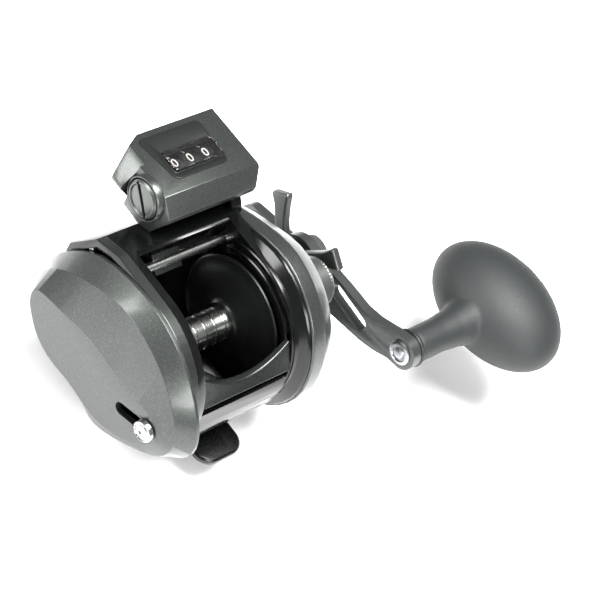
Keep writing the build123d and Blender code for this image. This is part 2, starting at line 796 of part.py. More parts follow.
finish(handle_arm, "handle_arm")

with BuildPart() as handle_nut:
    with BuildSketch(across(ARM_X + ARM_THICK)):
        with Locations(MAIN_AXIS):
            RegularPolygon(4.8, 6)
            Circle(SHAFT_R, mode=Mode.SUBTRACT)
    extrude(amount=2.4)
finish(handle_nut, "handle_nut")

with BuildPart() as nut_cap:
    with BuildSketch(across(ARM_X + ARM_THICK)):
        with Locations(MAIN_AXIS):
            Circle(6.4)
    extrude(amount=4.6)
    chamfer(nut_cap.faces().sort_by(Axis.X)[-1].edges(), 0.8)
    with BuildSketch(across(ARM_X + ARM_THICK)):
        with Locations(MAIN_AXIS):
            Circle(5.0)
    extrude(amount=3.4, mode=Mode.SUBTRACT)
finish(nut_cap, "nut_cap")

# ---- Knob on its spindle ----
NECK_X = 59.6
NECK_R = 5.2
KNOB_BORE_END = 86.5
turned(
    "knob_spindle",
    KNOB_AXIS,
    [
        (ARM_X - 1.0, 0),
        (ARM_X - 1.0, 3.4),
        (ARM_X - 0.6, 3.8),
        (ARM_X, 3.8),
        (ARM_X, SPINDLE_R),
        (84.0, SPINDLE_R),
        (84.0, 2.6),
        (85.4, 2.6),
        (85.4, 0),
    ],
)
with BuildPart() as ellipsoid:
    Sphere(1.0)
    scale(by=KNOB_HALF)
with BuildPart() as knob:
    add(Pos(KNOB_X, KNOB_AXIS[0], KNOB_AXIS[1]) * ellipsoid.part)
    with BuildSketch(axis_plane(KNOB_AXIS)):
        with BuildLine():
            Polyline((NECK_X, 0), (NECK_X, NECK_R - 0.5), (NECK_X + 0.5, NECK_R), (70.0, NECK_R))
            Spline((70.0, NECK_R), (76.0, 5.9), (83.0, 8.0), (90.0, 10.0))
            Polyline((90.0, 10.0), (90.0, 0), (NECK_X, 0))
        make_face()
    revolve(axis=x_axis(KNOB_AXIS))
    with BuildSketch(across(NECK_X)):
        with Locations(KNOB_AXIS):
            Circle(2.9)
    extrude(amount=KNOB_BORE_END - NECK_X, mode=Mode.SUBTRACT)
finish(knob, "knob")

with BuildPart() as knob_bushings:
    for x in (60.0, 76.0):
        with BuildSketch(across(x)):
            with Locations(KNOB_AXIS):
                Circle(2.9)
                Circle(SPINDLE_R + CLEAR, mode=Mode.SUBTRACT)
        extrude(amount=6.0)
finish(knob_bushings, "knob_bushings")
ring_x("knob_washer", KNOB_AXIS, ARM_X + ARM_THICK, NECK_X - 0.15, 5.8, SPINDLE_R)

# ---- Level wind: worm in its slotted tube, carriage, pawl and guide rod ----
CARRIAGE_X = -4.0
CARRIAGE_HALF = 4.6
TUBE_R = 3.4
EYE = (24.6, 24.6)  # Y, Z of the line guide's eye
turned(
    "worm_shaft",
    WORM_AXIS,
    [(-18.4, 0), (-18.4, 2.0), (18.6, 2.0), (18.6, 1.5), (22.2, 1.5), (22.2, 0)],
)
with BuildPart() as worm_tube:
    with BuildSketch(across(-WALL_X)):
        with Locations(WORM_AXIS):
            Circle(TUBE_R)
            Circle(2.3, mode=Mode.SUBTRACT)
    extrude(amount=2 * WALL_X)
    with BuildSketch(Plane.XY.offset(WORM_AXIS[1] - TUBE_R)):
        with Locations((0, WORM_AXIS[0])):
            Rectangle(27.0, 2.6)
    extrude(amount=2.4, mode=Mode.SUBTRACT)
finish(worm_tube, "worm_tube")
ring_x("guide_rod", ROD_AXIS, -WALL_X - 1.5, WALL_X + 1.5, 1.4)

with BuildPart() as line_carriage:
    with BuildSketch(across(CARRIAGE_X - CARRIAGE_HALF)):
        with Locations(WORM_AXIS):
            Circle(5.2)
        with Locations(ROD_AXIS):
            Circle(2.8)
        with BuildLine():
            Polyline((11.4, 38.2), (14.6, 42.6), (23.6, 37.6), (17.6, 29.6), close=True)
        make_face()
        with BuildLine():
            Polyline((20.0, 30.0), (25.6, 32.0), (26.2, 18.6), (23.0, 18.6), (22.6, 28.0), close=True)
        make_face()
        with Locations(WORM_AXIS):
            Circle(TUBE_R + CLEAR, mode=Mode.SUBTRACT)
        with Locations(ROD_AXIS):
            Circle(1.4 + CLEAR, mode=Mode.SUBTRACT)
            # the fork hooks the rod from below and in front, and is open behind
            Rectangle(9.0, 5.0, rotation=45, align=(Align.CENTER, Align.MIN), mode=Mode.SUBTRACT)
    extrude(amount=2 * CARRIAGE_HALF)
    with BuildSketch(Plane.XZ.offset(-EYE[0] - 6.0)):
        with Locations((CARRIAGE_X, EYE[1])):
            RectangleRounded(7.0, 9.4, 2.2)
    extrude(amount=12.0, mode=Mode.SUBTRACT)
    with BuildSketch(Plane.XY.offset(WORM_AXIS[1] - 5.4)):
        with Locations((CARRIAGE_X, WORM_AXIS[0])):
            Circle(1.0)
    extrude(amount=2.4, mode=Mode.SUBTRACT)
finish(line_carriage, "line_carriage")

with BuildPart() as line_eye:
    with BuildSketch(Plane.XZ.offset(-EYE[0] - 1.9)):
        with Locations((CARRIAGE_X, EYE[1])):
            RectangleRounded(7.0, 9.4, 2.2)
            RectangleRounded(4.8, 7.0, 1.6, mode=Mode.SUBTRACT)
    extrude(amount=3.8)
finish(line_eye, "line_eye")

with BuildPart() as worm_pawl:
    with BuildSketch(Plane.XY.offset(WORM_AXIS[1] - 5.2)):
        with Locations((CARRIAGE_X, WORM_AXIS[0])):
            Circle(1.0)
    extrude(amount=3.1)
finish(worm_pawl, "worm_pawl")

# ---- Thumb bar across the back of the frame ----
with BuildPart() as thumb_bar:
    with BuildSketch(across(-WALL_X + 0.4)):
        with BuildLine():
            Line((-25.8, 28.0), (-24.2, 28.0))
            Spline((-24.2, 28.0), (-21.4, 30.0), (-19.4, 34.6))
            Line((-19.4, 34.6), (-21.2, 35.6))
            Spline((-21.2, 35.6), (-23.2, 32.0), (-25.8, 28.0))
        make_face()
    extrude(amount=2 * WALL_X - 0.8)
finish(thumb_bar, "thumb_bar")

# ---- Line counter ----
CASE_X0 = -11.0
CASE_X1 = 26.5
CASE_TOP = 60.6
CASE_LEFT_SOLID = 8.8
CASE_OUTLINE = (
    (15.2, 56.0),
    (15.6, 53.8),
    (19.5, 46.45),
    (24.0, 45.0),
    (33.0, 45.4),
    (39.4, 50.0),
    (41.2, 57.0),
    (40.6, CASE_TOP),
    (19.5, CASE_TOP),
)
CASE_HOLLOW = (
    (17.0, 55.4),
    (17.4, 54.2),
    (21.0, 47.9),
    (24.3, 46.7),
    (32.4, 47.1),
    (37.8, 50.9),
    (39.4, 56.8),
    (38.9, CASE_TOP - 1.5),
    (20.6, CASE_TOP - 1.5),
)
WHEEL_R = 6.0
WHEEL_WIDTH = 5.2
WHEEL_PITCH = 5.4
LABEL_X = 9.0
WINDOW_SIZE = (16.4, 6.0)
RESET_AXIS = (24.4, 55.4)
RESET_R = 5.6
RESET_X = -10.0
RESET_SEAT_X = -7.4
NOSE_Y = 31.0
with BuildPart() as counter_case:
    with BuildSketch(across(CASE_X0)):
        with BuildLine():
            Polyline(*CASE_OUTLINE, close=True)
        make_face()
    extrude(amount=CASE_X1 - CASE_X0)
    chamfer(counter_case.faces().sort_by(Axis.X)[-1].edges(), 1.5)
    with BuildSketch(Plane.XZ.offset(-60)):
        with BuildLine():
            Polyline((CASE_X0 - 1, 53.0), (CASE_X0 + 6.4, CASE_TOP + 1), (CASE_X0 - 1, CASE_TOP + 1), close=True)
        make_face()
        with BuildLine():
            Polyline((CASE_X0 - 1, 52.9), (CASE_X0 - 1, 38.0), (2.0, 38.0), close=True)
        make_face()
    extrude(amount=60.0 - NOSE_Y, mode=Mode.SUBTRACT)
    # the front left corner slopes back to the nose
    with BuildSketch(Plane.XY.offset(40.0)):
        with BuildLine():
            Polyline((CASE_X0 - 1, 34.8), (CASE_X0 + 12.0, 41.8), (CASE_X0 - 1, 41.8), close=True)
        make_face()
    extrude(amount=CASE_TOP - 38.0, mode=Mode.SUBTRACT)
    # the seat of the reset knob, behind the nose
    with BuildSketch(across(CASE_X0)):
        with Locations((NOSE_Y - 20.0, 50.0)):
            Rectangle(40.0, 40.0)
    extrude(amount=RESET_SEAT_X - CASE_X0, mode=Mode.SUBTRACT)
    with BuildSketch(across(CASE_X0 + CASE_LEFT_SOLID)):
        with BuildLine():
            Polyline(*CASE_HOLLOW, close=True)
        make_face()
    extrude(amount=CASE_X1 - CASE_X0 - CASE_LEFT_SOLID - 2.5, mode=Mode.SUBTRACT)
    with BuildSketch(Plane.XY.offset(CASE_TOP - 2)):
        with Locations((LABEL_X, COUNTER_AXIS[0])):
            Rectangle(*WINDOW_SIZE)
    extrude(amount=2, mode=Mode.SUBTRACT)
    with BuildSketch(across(RESET_SEAT_X)):
        with Locations(RESET_AXIS):
            Circle(1.5 + CLEAR)
    extrude(amount=4.0, mode=Mode.SUBTRACT)
    with BuildSketch(across(GEAR_X - 0.5)):
        with Locations(COUNTER_IDLER_AXIS):
            Circle(COUNTER_IDLER_R + 1.1)
    extrude(amount=GEAR_WIDTH + 1.0, mode=Mode.SUBTRACT)
finish(counter_case, "counter_case")

with BuildPart() as counter_label:
    with BuildSketch(Plane.XY.offset(CASE_TOP)):
        with BuildLine():
            Polyline((-0.4, 23.2), (17.8, 23.2), (18.6, 38.6), (-2.9, 38.6), close=True)
        make_face()
        fillet(vertices(), 1.8)
        with Locations((LABEL_X, COUNTER_AXIS[0])):
            Rectangle(*WINDOW_SIZE, mode=Mode.SUBTRACT)
    extrude(amount=0.4)
finish(counter_label, "counter_label")

with BuildPart() as counter_window:
    with BuildSketch(Plane.XY.offset(CASE_TOP + 0.4)):
        with Locations((LABEL_X, COUNTER_AXIS[0])):
            RectangleRounded(18.4, 8.4, 1.4)
    extrude(amount=1.0)
    chamfer(counter_window.faces().sort_by(Axis.Z)[-1].edges(), 0.4)
finish(counter_window, "counter_window")

for number, name in enumerate(("hundreds", "tens", "ones")):
    middle_x = LABEL_X + (number - 1) * WHEEL_PITCH
    half = WHEEL_WIDTH / 2
    ring_x(f"digit_wheel_{name}", COUNTER_AXIS, middle_x - half, middle_x + half, WHEEL_R, 1.0 + CLEAR)
ring_x("counter_axle", COUNTER_AXIS, CASE_X0 + CASE_LEFT_SOLID + 0.1, CASE_X1 - 2.6, 1.0)

SLOT_TURN = 48.0
with BuildPart() as reset_knob:
    with BuildSketch(across(RESET_X)):
        with Locations(RESET_AXIS):
            Circle(RESET_R)
    extrude(amount=2.4)
    fillet(reset_knob.faces().sort_by(Axis.X)[0].edges(), 1.2)
    with BuildSketch(across(RESET_X + 2.4)):
        with Locations(RESET_AXIS):
            Circle(1.5)
    extrude(amount=3.4)
    with BuildSketch(across(RESET_X)):
        with Locations(RESET_AXIS):
            Rectangle(9.6, 1.3, rotation=SLOT_TURN)
    extrude(amount=1.0, mode=Mode.SUBTRACT)
finish(reset_knob, "reset_knob")
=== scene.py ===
import math

import bmesh
import bpy
from mathutils import Matrix, Vector


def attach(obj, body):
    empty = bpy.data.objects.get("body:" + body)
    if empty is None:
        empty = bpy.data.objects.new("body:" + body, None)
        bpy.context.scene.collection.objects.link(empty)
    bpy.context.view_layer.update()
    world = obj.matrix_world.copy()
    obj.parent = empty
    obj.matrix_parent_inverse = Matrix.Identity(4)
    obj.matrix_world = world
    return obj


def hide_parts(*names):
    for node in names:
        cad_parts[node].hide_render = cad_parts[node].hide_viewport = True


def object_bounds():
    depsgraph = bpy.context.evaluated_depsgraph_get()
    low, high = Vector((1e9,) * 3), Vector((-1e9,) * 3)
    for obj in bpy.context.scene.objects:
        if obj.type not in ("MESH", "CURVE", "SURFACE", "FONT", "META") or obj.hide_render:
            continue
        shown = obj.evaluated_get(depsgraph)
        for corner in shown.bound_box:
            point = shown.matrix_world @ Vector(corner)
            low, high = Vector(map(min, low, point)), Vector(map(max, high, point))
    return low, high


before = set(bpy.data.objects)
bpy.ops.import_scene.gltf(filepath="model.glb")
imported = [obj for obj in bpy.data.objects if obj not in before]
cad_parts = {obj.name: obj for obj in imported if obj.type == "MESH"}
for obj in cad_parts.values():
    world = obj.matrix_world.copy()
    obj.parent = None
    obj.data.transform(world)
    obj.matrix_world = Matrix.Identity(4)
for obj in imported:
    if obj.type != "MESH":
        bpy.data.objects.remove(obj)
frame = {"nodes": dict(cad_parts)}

bl_info = {
    "name": "Line Counter Trolling Reel",
    "version": (1, 0, 0),
    "blender": (4, 5, 0),
    "location": "3D View > Sidebar > Reel",
    "description": "Builds the visible pieces of a trolling reel around its CAD frame",
    "category": "Add Mesh",
}

MM = 0.001
START_LOW, START_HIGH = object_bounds()

# Axes that run along X, as (Y, Z) in millimetres.
SPOOL_AXIS = (-2.0, 23.0)
MAIN_AXIS = (10.742, 13.742)
KNOB_AXIS = (-32.797, 22.442)
COUNTER_AXIS = (28.6, 53.2)
RESET_AXIS = (24.4, 55.4)
WORM_AXIS = (20.5, 33.5)
GEAR_AXIS = (23.102, 43.672)

# The clicker's slot, from its front end to its rear end.
SLOT_FRONT = (-11.9, 19.7)
SLOT_REAR = (-21.4, 22.3)
FACE_X = -31.5
FACE_LEAN = 0.075
ARM_ANGLE = 168.7
STAR_FIRST = 55.0
# The arm's edges, along and across it from the hub: it bends on its way to the knob.
ARM_UPPER = [(8.0, -5.95), (13.5, -5.7), (20.0, -4.6), (27.5, -2.9), (33.0, -3.0), (38.5, -4.1), (42.0, -4.9)]
ARM_LOWER = [(41.0, 5.2), (38.0, 6.0), (34.5, 6.9), (29.0, 7.45), (19.0, 7.35), (8.0, 7.45)]

# Outlines across the reel, as (Y, Z) in millimetres.
PALM_OUTLINE = (
    (2, 47.4), (-12, 45.2), (-23, 38.5), (-30.5, 29.5), (-32.4, 20.5), (-27.2, 12.4),
    (-18, 4.6), (-8, -1.8), (0, -4.4), (10, -2.6), (20, -2.4), (28.6, 1.6),
    (32.6, 9), (34.9, 18), (32.5, 30), (20, 43),
)
PALM_SHOULDER = (
    (3.5, 43.6), (-9, 42.4), (-19, 37.6), (-26, 31), (-29.4, 23.5), (-27, 15.6),
    (-18.6, 8.4), (-8.5, 2.4), (-2, 0.9), (8, 4.4), (16, 4), (24.6, 7.4),
    (29.4, 14.8), (31.8, 24), (27.5, 31.5), (17, 38.5),
)
PALM_FACE = (
    (5.4, 29.8), (-7, 28), (-15.5, 27.6), (-22, 26.4), (-25.2, 21.5), (-21, 15),
    (-13.5, 10), (-6.2, 7.8), (0, 8.6), (7, 9.8), (14, 10.2), (20.2, 12.6),
    (25.2, 17.6), (27.6, 22.5), (26, 27), (16, 28.6),
)
SIDE_OUTLINE = (
    (-2, 50.5), (-14, 47.6), (-23.5, 40), (-29, 29), (-29.2, 16), (-23, 4.5),
    (-12, -2.8), (4, -5.6), (20, -4.4), (30, 0.5), (36, 9.5), (37.2, 20),
    (34.6, 30), (26, 40), (13, 46.6),
)
SIDE_FACE = (
    (-2, 37), (-9, 35), (-14.5, 30.5), (-17, 24), (-16, 16.5), (-11, 8),
    (-4, 1.6), (6, -1.2), (16, -1), (23, 2.6), (27, 9), (27.6, 17.5),
    (25, 25), (19, 31), (9, 35.6),
)
CASE_OUTLINE = (
    (15.2, 56), (15.6, 53.8), (19.5, 46.45), (24, 45), (33, 45.4), (39.4, 50),
    (41.2, 57), (40.6, 60.6), (19.5, 60.6),
)
# The counter's window, as (X, Y) in millimetres.
WINDOW = ((0.8, 25.6), (17.2, 25.6), (17.2, 31.6), (0.8, 31.6))

# Each lamp's name, place from the reel's middle in metres, side in metres and power in watts.
LAMPS = (
    ("overhead_box", (0.05, -0.1, 0.8), 0.45, 20.0),
    ("left_box", (-0.7, 0.35, 0.45), 0.4, 8.0),
    ("rear_box", (-0.25, -0.7, 0.4), 0.3, 5.0),
)
WORLD_STRENGTH = 0.32


# ---- Working in edit mode ----
def start(name):
    """A new mesh of one vertex at the origin, in edit mode, with nothing else selected."""
    if bpy.context.mode != "OBJECT":
        bpy.ops.object.mode_set(mode="OBJECT")
    bpy.ops.object.select_all(action="DESELECT")
    bpy.ops.mesh.primitive_plane_add(size=MM)
    piece = bpy.context.active_object
    piece.name = piece.data.name = name
    bpy.ops.object.mode_set(mode="EDIT")
    bpy.ops.mesh.select_mode(type="VERT")
    bpy.ops.mesh.select_all(action="SELECT")
    bpy.ops.mesh.merge(type="CENTER")
    return piece


def draw_line(points):
    """Puts the one selected vertex at the first point and pulls a line of edges through the others."""
    bpy.ops.transform.translate(value=Vector(points[0]) * MM)
    for before, after in zip(points, points[1:]):
        step = (Vector(after) - Vector(before)) * MM
        bpy.ops.mesh.extrude_region_move(TRANSFORM_OT_translate={"value": step})


def close_up(piece, smooth_angle=35.0):
    """Merges seams, turns the faces outwards and leaves edit mode."""
    bpy.ops.mesh.select_all(action="SELECT")
    bpy.ops.mesh.remove_doubles(threshold=1e-6)
    bpy.ops.mesh.normals_make_consistent(inside=False)
    bpy.ops.object.mode_set(mode="OBJECT")
    smooth(piece, smooth_angle)
    return piece


def smooth(piece, angle=35.0):
    bpy.ops.object.select_all(action="DESELECT")
    piece.select_set(True)
    bpy.context.view_layer.objects.active = piece
    bpy.ops.object.shade_smooth_by_angle(angle=math.radians(angle))
    return piece


def turned(name, centre, profile, steps=64, smooth_angle=35.0, lean=0.0):
    """A piece turned about an axis along X, or square to the leaning palm face.

    The profile is (x, radius) from end to end."""
    piece = start(name)
    axis = Vector((1, lean, 0)).normalized()
    foot = Vector((0, centre[0], centre[1]))
    if lean:
        foot += Vector((FACE_X - lean * centre[0], 0, 0)) - axis * FACE_X
    draw_line([foot + axis * x + Vector((0, 0, r)) for x, r in profile])
    bpy.ops.mesh.select_all(action="SELECT")
    bpy.ops.mesh.spin(steps=steps, angle=math.tau, center=foot * MM, axis=axis)
    return close_up(piece, smooth_angle)


def prism(name, corners, push, smooth_angle=35.0):
    """A flat outline of (x, y, z) corners that is pushed into a solid."""
    piece = start(name)
    draw_line(corners)
    bpy.ops.mesh.select_all(action="SELECT")
    bpy.ops.mesh.edge_face_add()
    bpy.ops.mesh.extrude_region_move(TRANSFORM_OT_translate={"value": Vector(push) * MM})
    return close_up(piece, smooth_angle)


def slab(name, outline, x0, x1, smooth_angle=35.0):
    """A plate whose outline of (y, z) points is pushed from x0 to x1."""
    return prism(name, ring(x0, outline), (x1 - x0, 0, 0), smooth_angle)


def skin(name, rings, smooth_angle=35.0):
    """A closed skin through rings of (x, y, z) points, which all have as many points."""
    piece = start(name)
    draw_line(rings[0])
    bpy.ops.mesh.select_all(action="SELECT")
    bpy.ops.mesh.edge_face_add()
    for before, after in zip(rings, rings[1:]):
        bpy.ops.mesh.extrude_region_move(TRANSFORM_OT_translate={"value": (0, 0, 0)})
        cap = bmesh.from_edit_mesh(piece.data)
        corners = [v.index for v in cap.verts if v.select]
        for index in corners:
            cap = bmesh.from_edit_mesh(piece.data)
            cap.verts.ensure_lookup_table()
            corner = cap.verts[index]
            gaps = [(corner.co - Vector(p) * MM).length for p in before]
            number = gaps.index(min(gaps))
            bpy.ops.mesh.select_all(action="DESELECT")
            corner.select_set(True)
            bmesh.update_edit_mesh(piece.data)
            step = (Vector(after[number]) - Vector(before[number])) * MM
            bpy.ops.transform.translate(value=step)
        cap = bmesh.from_edit_mesh(piece.data)
        cap.verts.ensure_lookup_table()
        for index in corners:
            cap.verts[index].select_set(True)
        cap.select_flush(True)
        bmesh.update_edit_mesh(piece.data)
    return close_up(piece, smooth_angle)


def use_modifier(piece, kind, **settings):
    """Adds a modifier, sets it and applies it."""
    bpy.ops.object.select_all(action="DESELECT")
    piece.select_set(True)
    bpy.context.view_layer.objects.active = piece
    modifier = piece.modifiers.new(kind.title(), kind)
    for setting, value in settings.items():
        setattr(modifier, setting, value)
    bpy.ops.object.modifier_apply(modifier=modifier.name)
    return piece


def cut(piece, *tools, operation="DIFFERENCE"):
    """Cuts the tools out of the piece, or joins them to it, and removes them."""
    for tool in tools:
        use_modifier(piece, "BOOLEAN", object=tool, operation=operation, solver="EXACT")
        bpy.data.objects.remove(tool)
    return piece


def soften(piece, width, segments=2, angle=30.0):
    """Rounds the sharp edges by a real edge break, in mm."""
    use_modifier(
        piece,
        "BEVEL",
        width=width * MM,
        segments=segments,
        limit_method="ANGLE",
        angle_limit=math.radians(angle),
        use_clamp_overlap=True,
    )
    return smooth(piece, 40.0)


# ---- Outlines ----
def polar(centre, radius, angle):
    return (
        centre[0] + radius * math.cos(math.radians(angle)),
        centre[1] + radius * math.sin(math.radians(angle)),
    )


def arc(centre, radius, first, last, count):
    return [polar(centre, radius, first + (last - first) * k / (count - 1)) for k in range(count)]


def flowing(points, steps=3):
    """A closed outline that flows through the points."""
    out = []
    for k in range(len(points)):
        a, b, c, d = (Vector(points[(k + j - 1) % len(points)]) for j in range(4))
        for step in range(steps):
            t = step / steps
            bend = (2 * a - 5 * b + 4 * c - d) * t * t + (3 * b - a - 3 * c + d) * t**3
            out.append(tuple(b + ((c - a) * t + bend) / 2))
    return out


def shrink(points, amount):
    """The same outline drawn in towards its middle."""
    middle = sum((Vector(p) for p in points), Vector((0, 0))) / len(points)
    out = []
    for point in points:
        reach = Vector(point) - middle
        out.append(tuple(middle + reach * (reach.length - amount) / reach.length))
    return out


def rounded(points, radius, steps=5):
    """A closed outline with its corners rounded."""
    out = []
    for k, point in enumerate(points):
        corner = Vector(point)
        back = (Vector(points[k - 1]) - corner).normalized()
        on = (Vector(points[(k + 1) % len(points)]) - corner).normalized()
        reach = radius / math.tan(back.angle(on) / 2)
        for step in range(steps):
            t = step / (steps - 1)
            out.append(tuple(corner + back * reach * (1 - t) ** 2 + on * reach * t**2))
    return out


def capsule(first, last, radius, steps=13):
    heading = math.degrees(math.atan2(last[1] - first[1], last[0] - first[0]))
    return arc(last, radius, heading - 90, heading + 90, steps) + arc(
        first, radius, heading + 90, heading + 270, steps
    )


def ring(x, outline, lean=0.0):
    """An outline of (y, z) points across the reel at x, which may lean towards the front."""
    return [(x - lean * y, y, z) for y, z in outline]


# ---- Materials ----
def linear(code):
    """An sRGB hex colour as the linear colour that a shader wants."""
    channels = [int(code[k : k + 2], 16) / 255 for k in (1, 3, 5)]
    return tuple(c / 12.92 if c <= 0.04045 else ((c + 0.055) / 1.055) ** 2.4 for c in channels) + (1.0,)


def add_node(tree, kind, sockets=None, links=None, **settings):
    """Adds a node, with its settings, socket values and the outputs that feed its sockets."""
    made = tree.nodes.new(kind)
    for setting, value in settings.items():
        setattr(made, setting, value)
    for socket, value in (sockets or {}).items():
        made.inputs[socket].default_value = value
    for socket, source in (links or {}).items():
        tree.links.new(source, made.inputs[socket])
    return made


def new_material(name, colour, roughness, metallic=0.0, **sockets):
    """A Principled material; its other sockets are given by name, with _ for a space."""
    made = bpy.data.materials.new(name)
    made.use_nodes = True
    shader = made.node_tree.nodes["Principled BSDF"]
    shader.inputs["Base Color"].default_value = tuple(colour)[:3] + (1.0,)
    shader.inputs["Roughness"].default_value = roughness
    shader.inputs["Metallic"].default_value = metallic
    for socket, value in sockets.items():
        shader.inputs[socket.replace("_", " ")].default_value = value
    return made


def grained(made, size, depth, low, high, stretch=(1, 1, 1)):
    """Roughens and dents a surface with noise of the given size in mm, between two roughnesses."""
    tree = made.node_tree
    shader = tree.nodes["Principled BSDF"]
    place = add_node(tree, "ShaderNodeTexCoord").outputs["Object"]
    mapped = add_node(tree, "ShaderNodeMapping", {"Scale": stretch}, {"Vector": place}).outputs["Vector"]
    pattern = {"Scale": 1 / (size * MM), "Detail": 3.0}
    grain = add_node(tree, "ShaderNodeTexNoise", pattern, {"Vector": mapped}).outputs["Fac"]
    gloss = add_node(tree, "ShaderNodeMapRange", {"To Min": low, "To Max": high}, {"Value": grain})
    dent = add_node(tree, "ShaderNodeBump", {"Distance": depth * MM, "Strength": 1.0}, {"Height": grain})
    tree.links.new(gloss.outputs["Result"], shader.inputs["Roughness"])
    tree.links.new(dent.outputs["Normal"], shader.inputs["Normal"])
    return made


def flake_paint(colours, sizes):
    """Metallic enamel, sprayed: silver flakes glint in a grey coat under clear lacquer."""
    made = new_material(
        "Metallic enamel, sprayed", colours.paint, 0.36, 0.7, Coat_Weight=0.35, Coat_Roughness=0.15
    )
    tree = made.node_tree
    place = add_node(tree, "ShaderNodeTexCoord").outputs["Object"]
    # Real flakes are about 0.05 mm; these are drawn as coarse as they need to show.
    flakes = add_node(tree, "ShaderNodeTexVoronoi", {"Scale": 1 / sizes.flake}, {"Vector": place})
    tone = add_node(tree, "ShaderNodeValToRGB", None, {"Fac": flakes.outputs["Color"]})
    coat, flake = tone.color_ramp.elements
    coat.position = 0.55
    coat.color = tuple(c * 0.94 for c in colours.paint) + (1.0,)
    flake.position = 0.95
    flake.color = tuple(min(1.0, c * 1.7) for c in colours.paint) + (1.0,)
    tree.links.new(tone.outputs["Color"], tree.nodes["Principled BSDF"].inputs["Base Color"])
    return made


# Noise stretched round an axis along X, for the fine marks that a lathe leaves.
LATHE_MARKS = (1, 0.1, 0.1)
MATERIALS = {}


def mix_materials(colours, sizes):
    """One material for each material name in the frame, and two more for pieces of the scene's own."""
    mixed = {
        "painted_shell": flake_paint(colours, sizes),
        # Near black, with sharp bright reflections.
        "black_frame": grained(
            new_material("Aluminium, black anodised", colours.frame, 0.2, 0.3), 1.6, 0.002, 0.14, 0.24
        ),
        # Dark grey, with a soft broad sheen.
        "rim_grey": grained(
            new_material("Aluminium, satin anodised", colours.rim, 0.34, 0.8), 0.5, 0.004, 0.28, 0.42
        ),
        # Black and a little duller than the frame.
        "foot_black": grained(
            new_material("Stainless steel, black coated", colours.frame, 0.28, 0.3), 0.8, 0.004, 0.2, 0.34
        ),
        # Bright, with fine marks that run round the axis.
        "polished_steel": grained(
            new_material("Stainless steel, polished", linear("#b4b6b3"), 0.2, 1.0),
            0.3, 0.003, 0.14, 0.28, (1, 0.08, 0.08),
        ),
        # Grey metal with visible tool marks round the axis.
        "machined_steel": grained(
            new_material("Carbon steel, machined", linear("#96989a"), 0.3, 1.0),
            0.3, 0.004, 0.24, 0.38, LATHE_MARKS,
        ),
        # Dark metal whose cone shows a soft sweep of light.
        "spool_black": grained(
            new_material("Aluminium, black anodised and turned", linear("#343735"), 0.3, 0.9),
            0.35, 0.002, 0.26, 0.38, LATHE_MARKS,
        ),
        # Warm yellow metal.
        "brass_gear": grained(
            new_material("Brass, cut", linear("#c6a457"), 0.25, 1.0), 0.4, 0.004, 0.2, 0.34
        ),
        # Milky white, half matt.
        "acetal_gear": grained(
            new_material("Acetal, moulded", linear("#e4e2da"), 0.4), 0.8, 0.003, 0.34, 0.46
        ),
        # Dull black with a weave's broken sheen.
        "drag_fibre": grained(
            new_material("Carbon fibre, woven", linear("#1b1b1c"), 0.45), 0.5, 0.01, 0.4, 0.6
        ),
        # Mid grey, whose diamonds catch the light one by one.
        "knurled_black": grained(
            new_material("Aluminium, knurled and anodised", linear("#6c6f6d"), 0.36, 0.85),
            0.4, 0.003, 0.3, 0.44,
        ),
        # A soft grey sheen with the fine grain of glass beads.
        "dark_arm": grained(
            new_material("Aluminium, blasted and anodised", colours.arm, 0.34, 0.85), 0.25, 0.004, 0.28, 0.42
        ),
        # Closed cells ground to shape: dark, with a fine pitted grain.
        "knob_foam": grained(
            new_material("EVA foam, ground", colours.knob, 0.6, Specular_IOR_Level=0.5),
            0.35, 0.05, 0.46, 0.72,
        ),
        # Deep black, half matt.
        "rubber": grained(
            new_material("Nitrile rubber, moulded", linear("#0e0f0f"), 0.45), 0.6, 0.004, 0.4, 0.55
        ),
        # Black with a moulded part's even gloss.
        "black_plastic": grained(
            new_material("Nylon, moulded", linear("#141615"), 0.3), 0.7, 0.005, 0.22, 0.36
        ),
        # Smooth black film.
        "label_black": grained(
            new_material("Polycarbonate, printed", linear("#101211"), 0.32), 0.6, 0.002, 0.26, 0.4
        ),
        # Water clear, with a glassy glint.
        "clear_lens": grained(
            new_material("Acrylic, clear", linear("#ffffff"), 0.03, IOR=1.49, Transmission_Weight=1.0),
            2.0, 0.0005, 0.0, 0.05,
        ),
        # Black and half matt, behind the digits.
        "digit_black": grained(
            new_material("Acetal, black moulded", linear("#0f1010"), 0.4), 0.8, 0.003, 0.36, 0.48
        ),
        # Flat white.
        "digit_white": grained(
            new_material("Ink, white printed", linear("#f2f2ee"), 0.5), 0.5, 0.002, 0.45, 0.55
        ),
        # A mirror, barely softened.
        "chrome": grained(
            new_material("Chrome plate", linear("#c6c7c5"), 0.12, 1.0), 1.5, 0.0005, 0.08, 0.16
        ),
    }
    MATERIALS.update(mixed)


# ---- Fitting a piece to the frame ----
def fit(piece, body, material, *nodes, slot=None):
    """Paints the piece, fixes it to its body and hides the nodes it stands for."""
    piece.data.materials.clear()
    piece.data.materials.append(MATERIALS[material])
    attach(piece, body)
    if nodes:
        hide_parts(*nodes)
    return piece


def refined(name, node, width, segments=2):
    """A copy of a node's mesh with its seams merged and its sharp edges rounded."""
    bpy.ops.object.select_all(action="DESELECT")
    source = frame["nodes"][node]
    piece = source.copy()
    piece.data = source.data.copy()
    piece.name = piece.data.name = name
    bpy.context.scene.collection.objects.link(piece)
    piece.select_set(True)
    bpy.context.view_layer.objects.active = piece
    bpy.ops.object.mode_set(mode="EDIT")
    bpy.ops.mesh.select_all(action="SELECT")
    bpy.ops.mesh.remove_doubles(threshold=2e-6)
    bpy.ops.mesh.dissolve_limited(angle_limit=math.radians(1.0))
    bpy.ops.object.mode_set(mode="OBJECT")
    return soften(piece, width, segments)


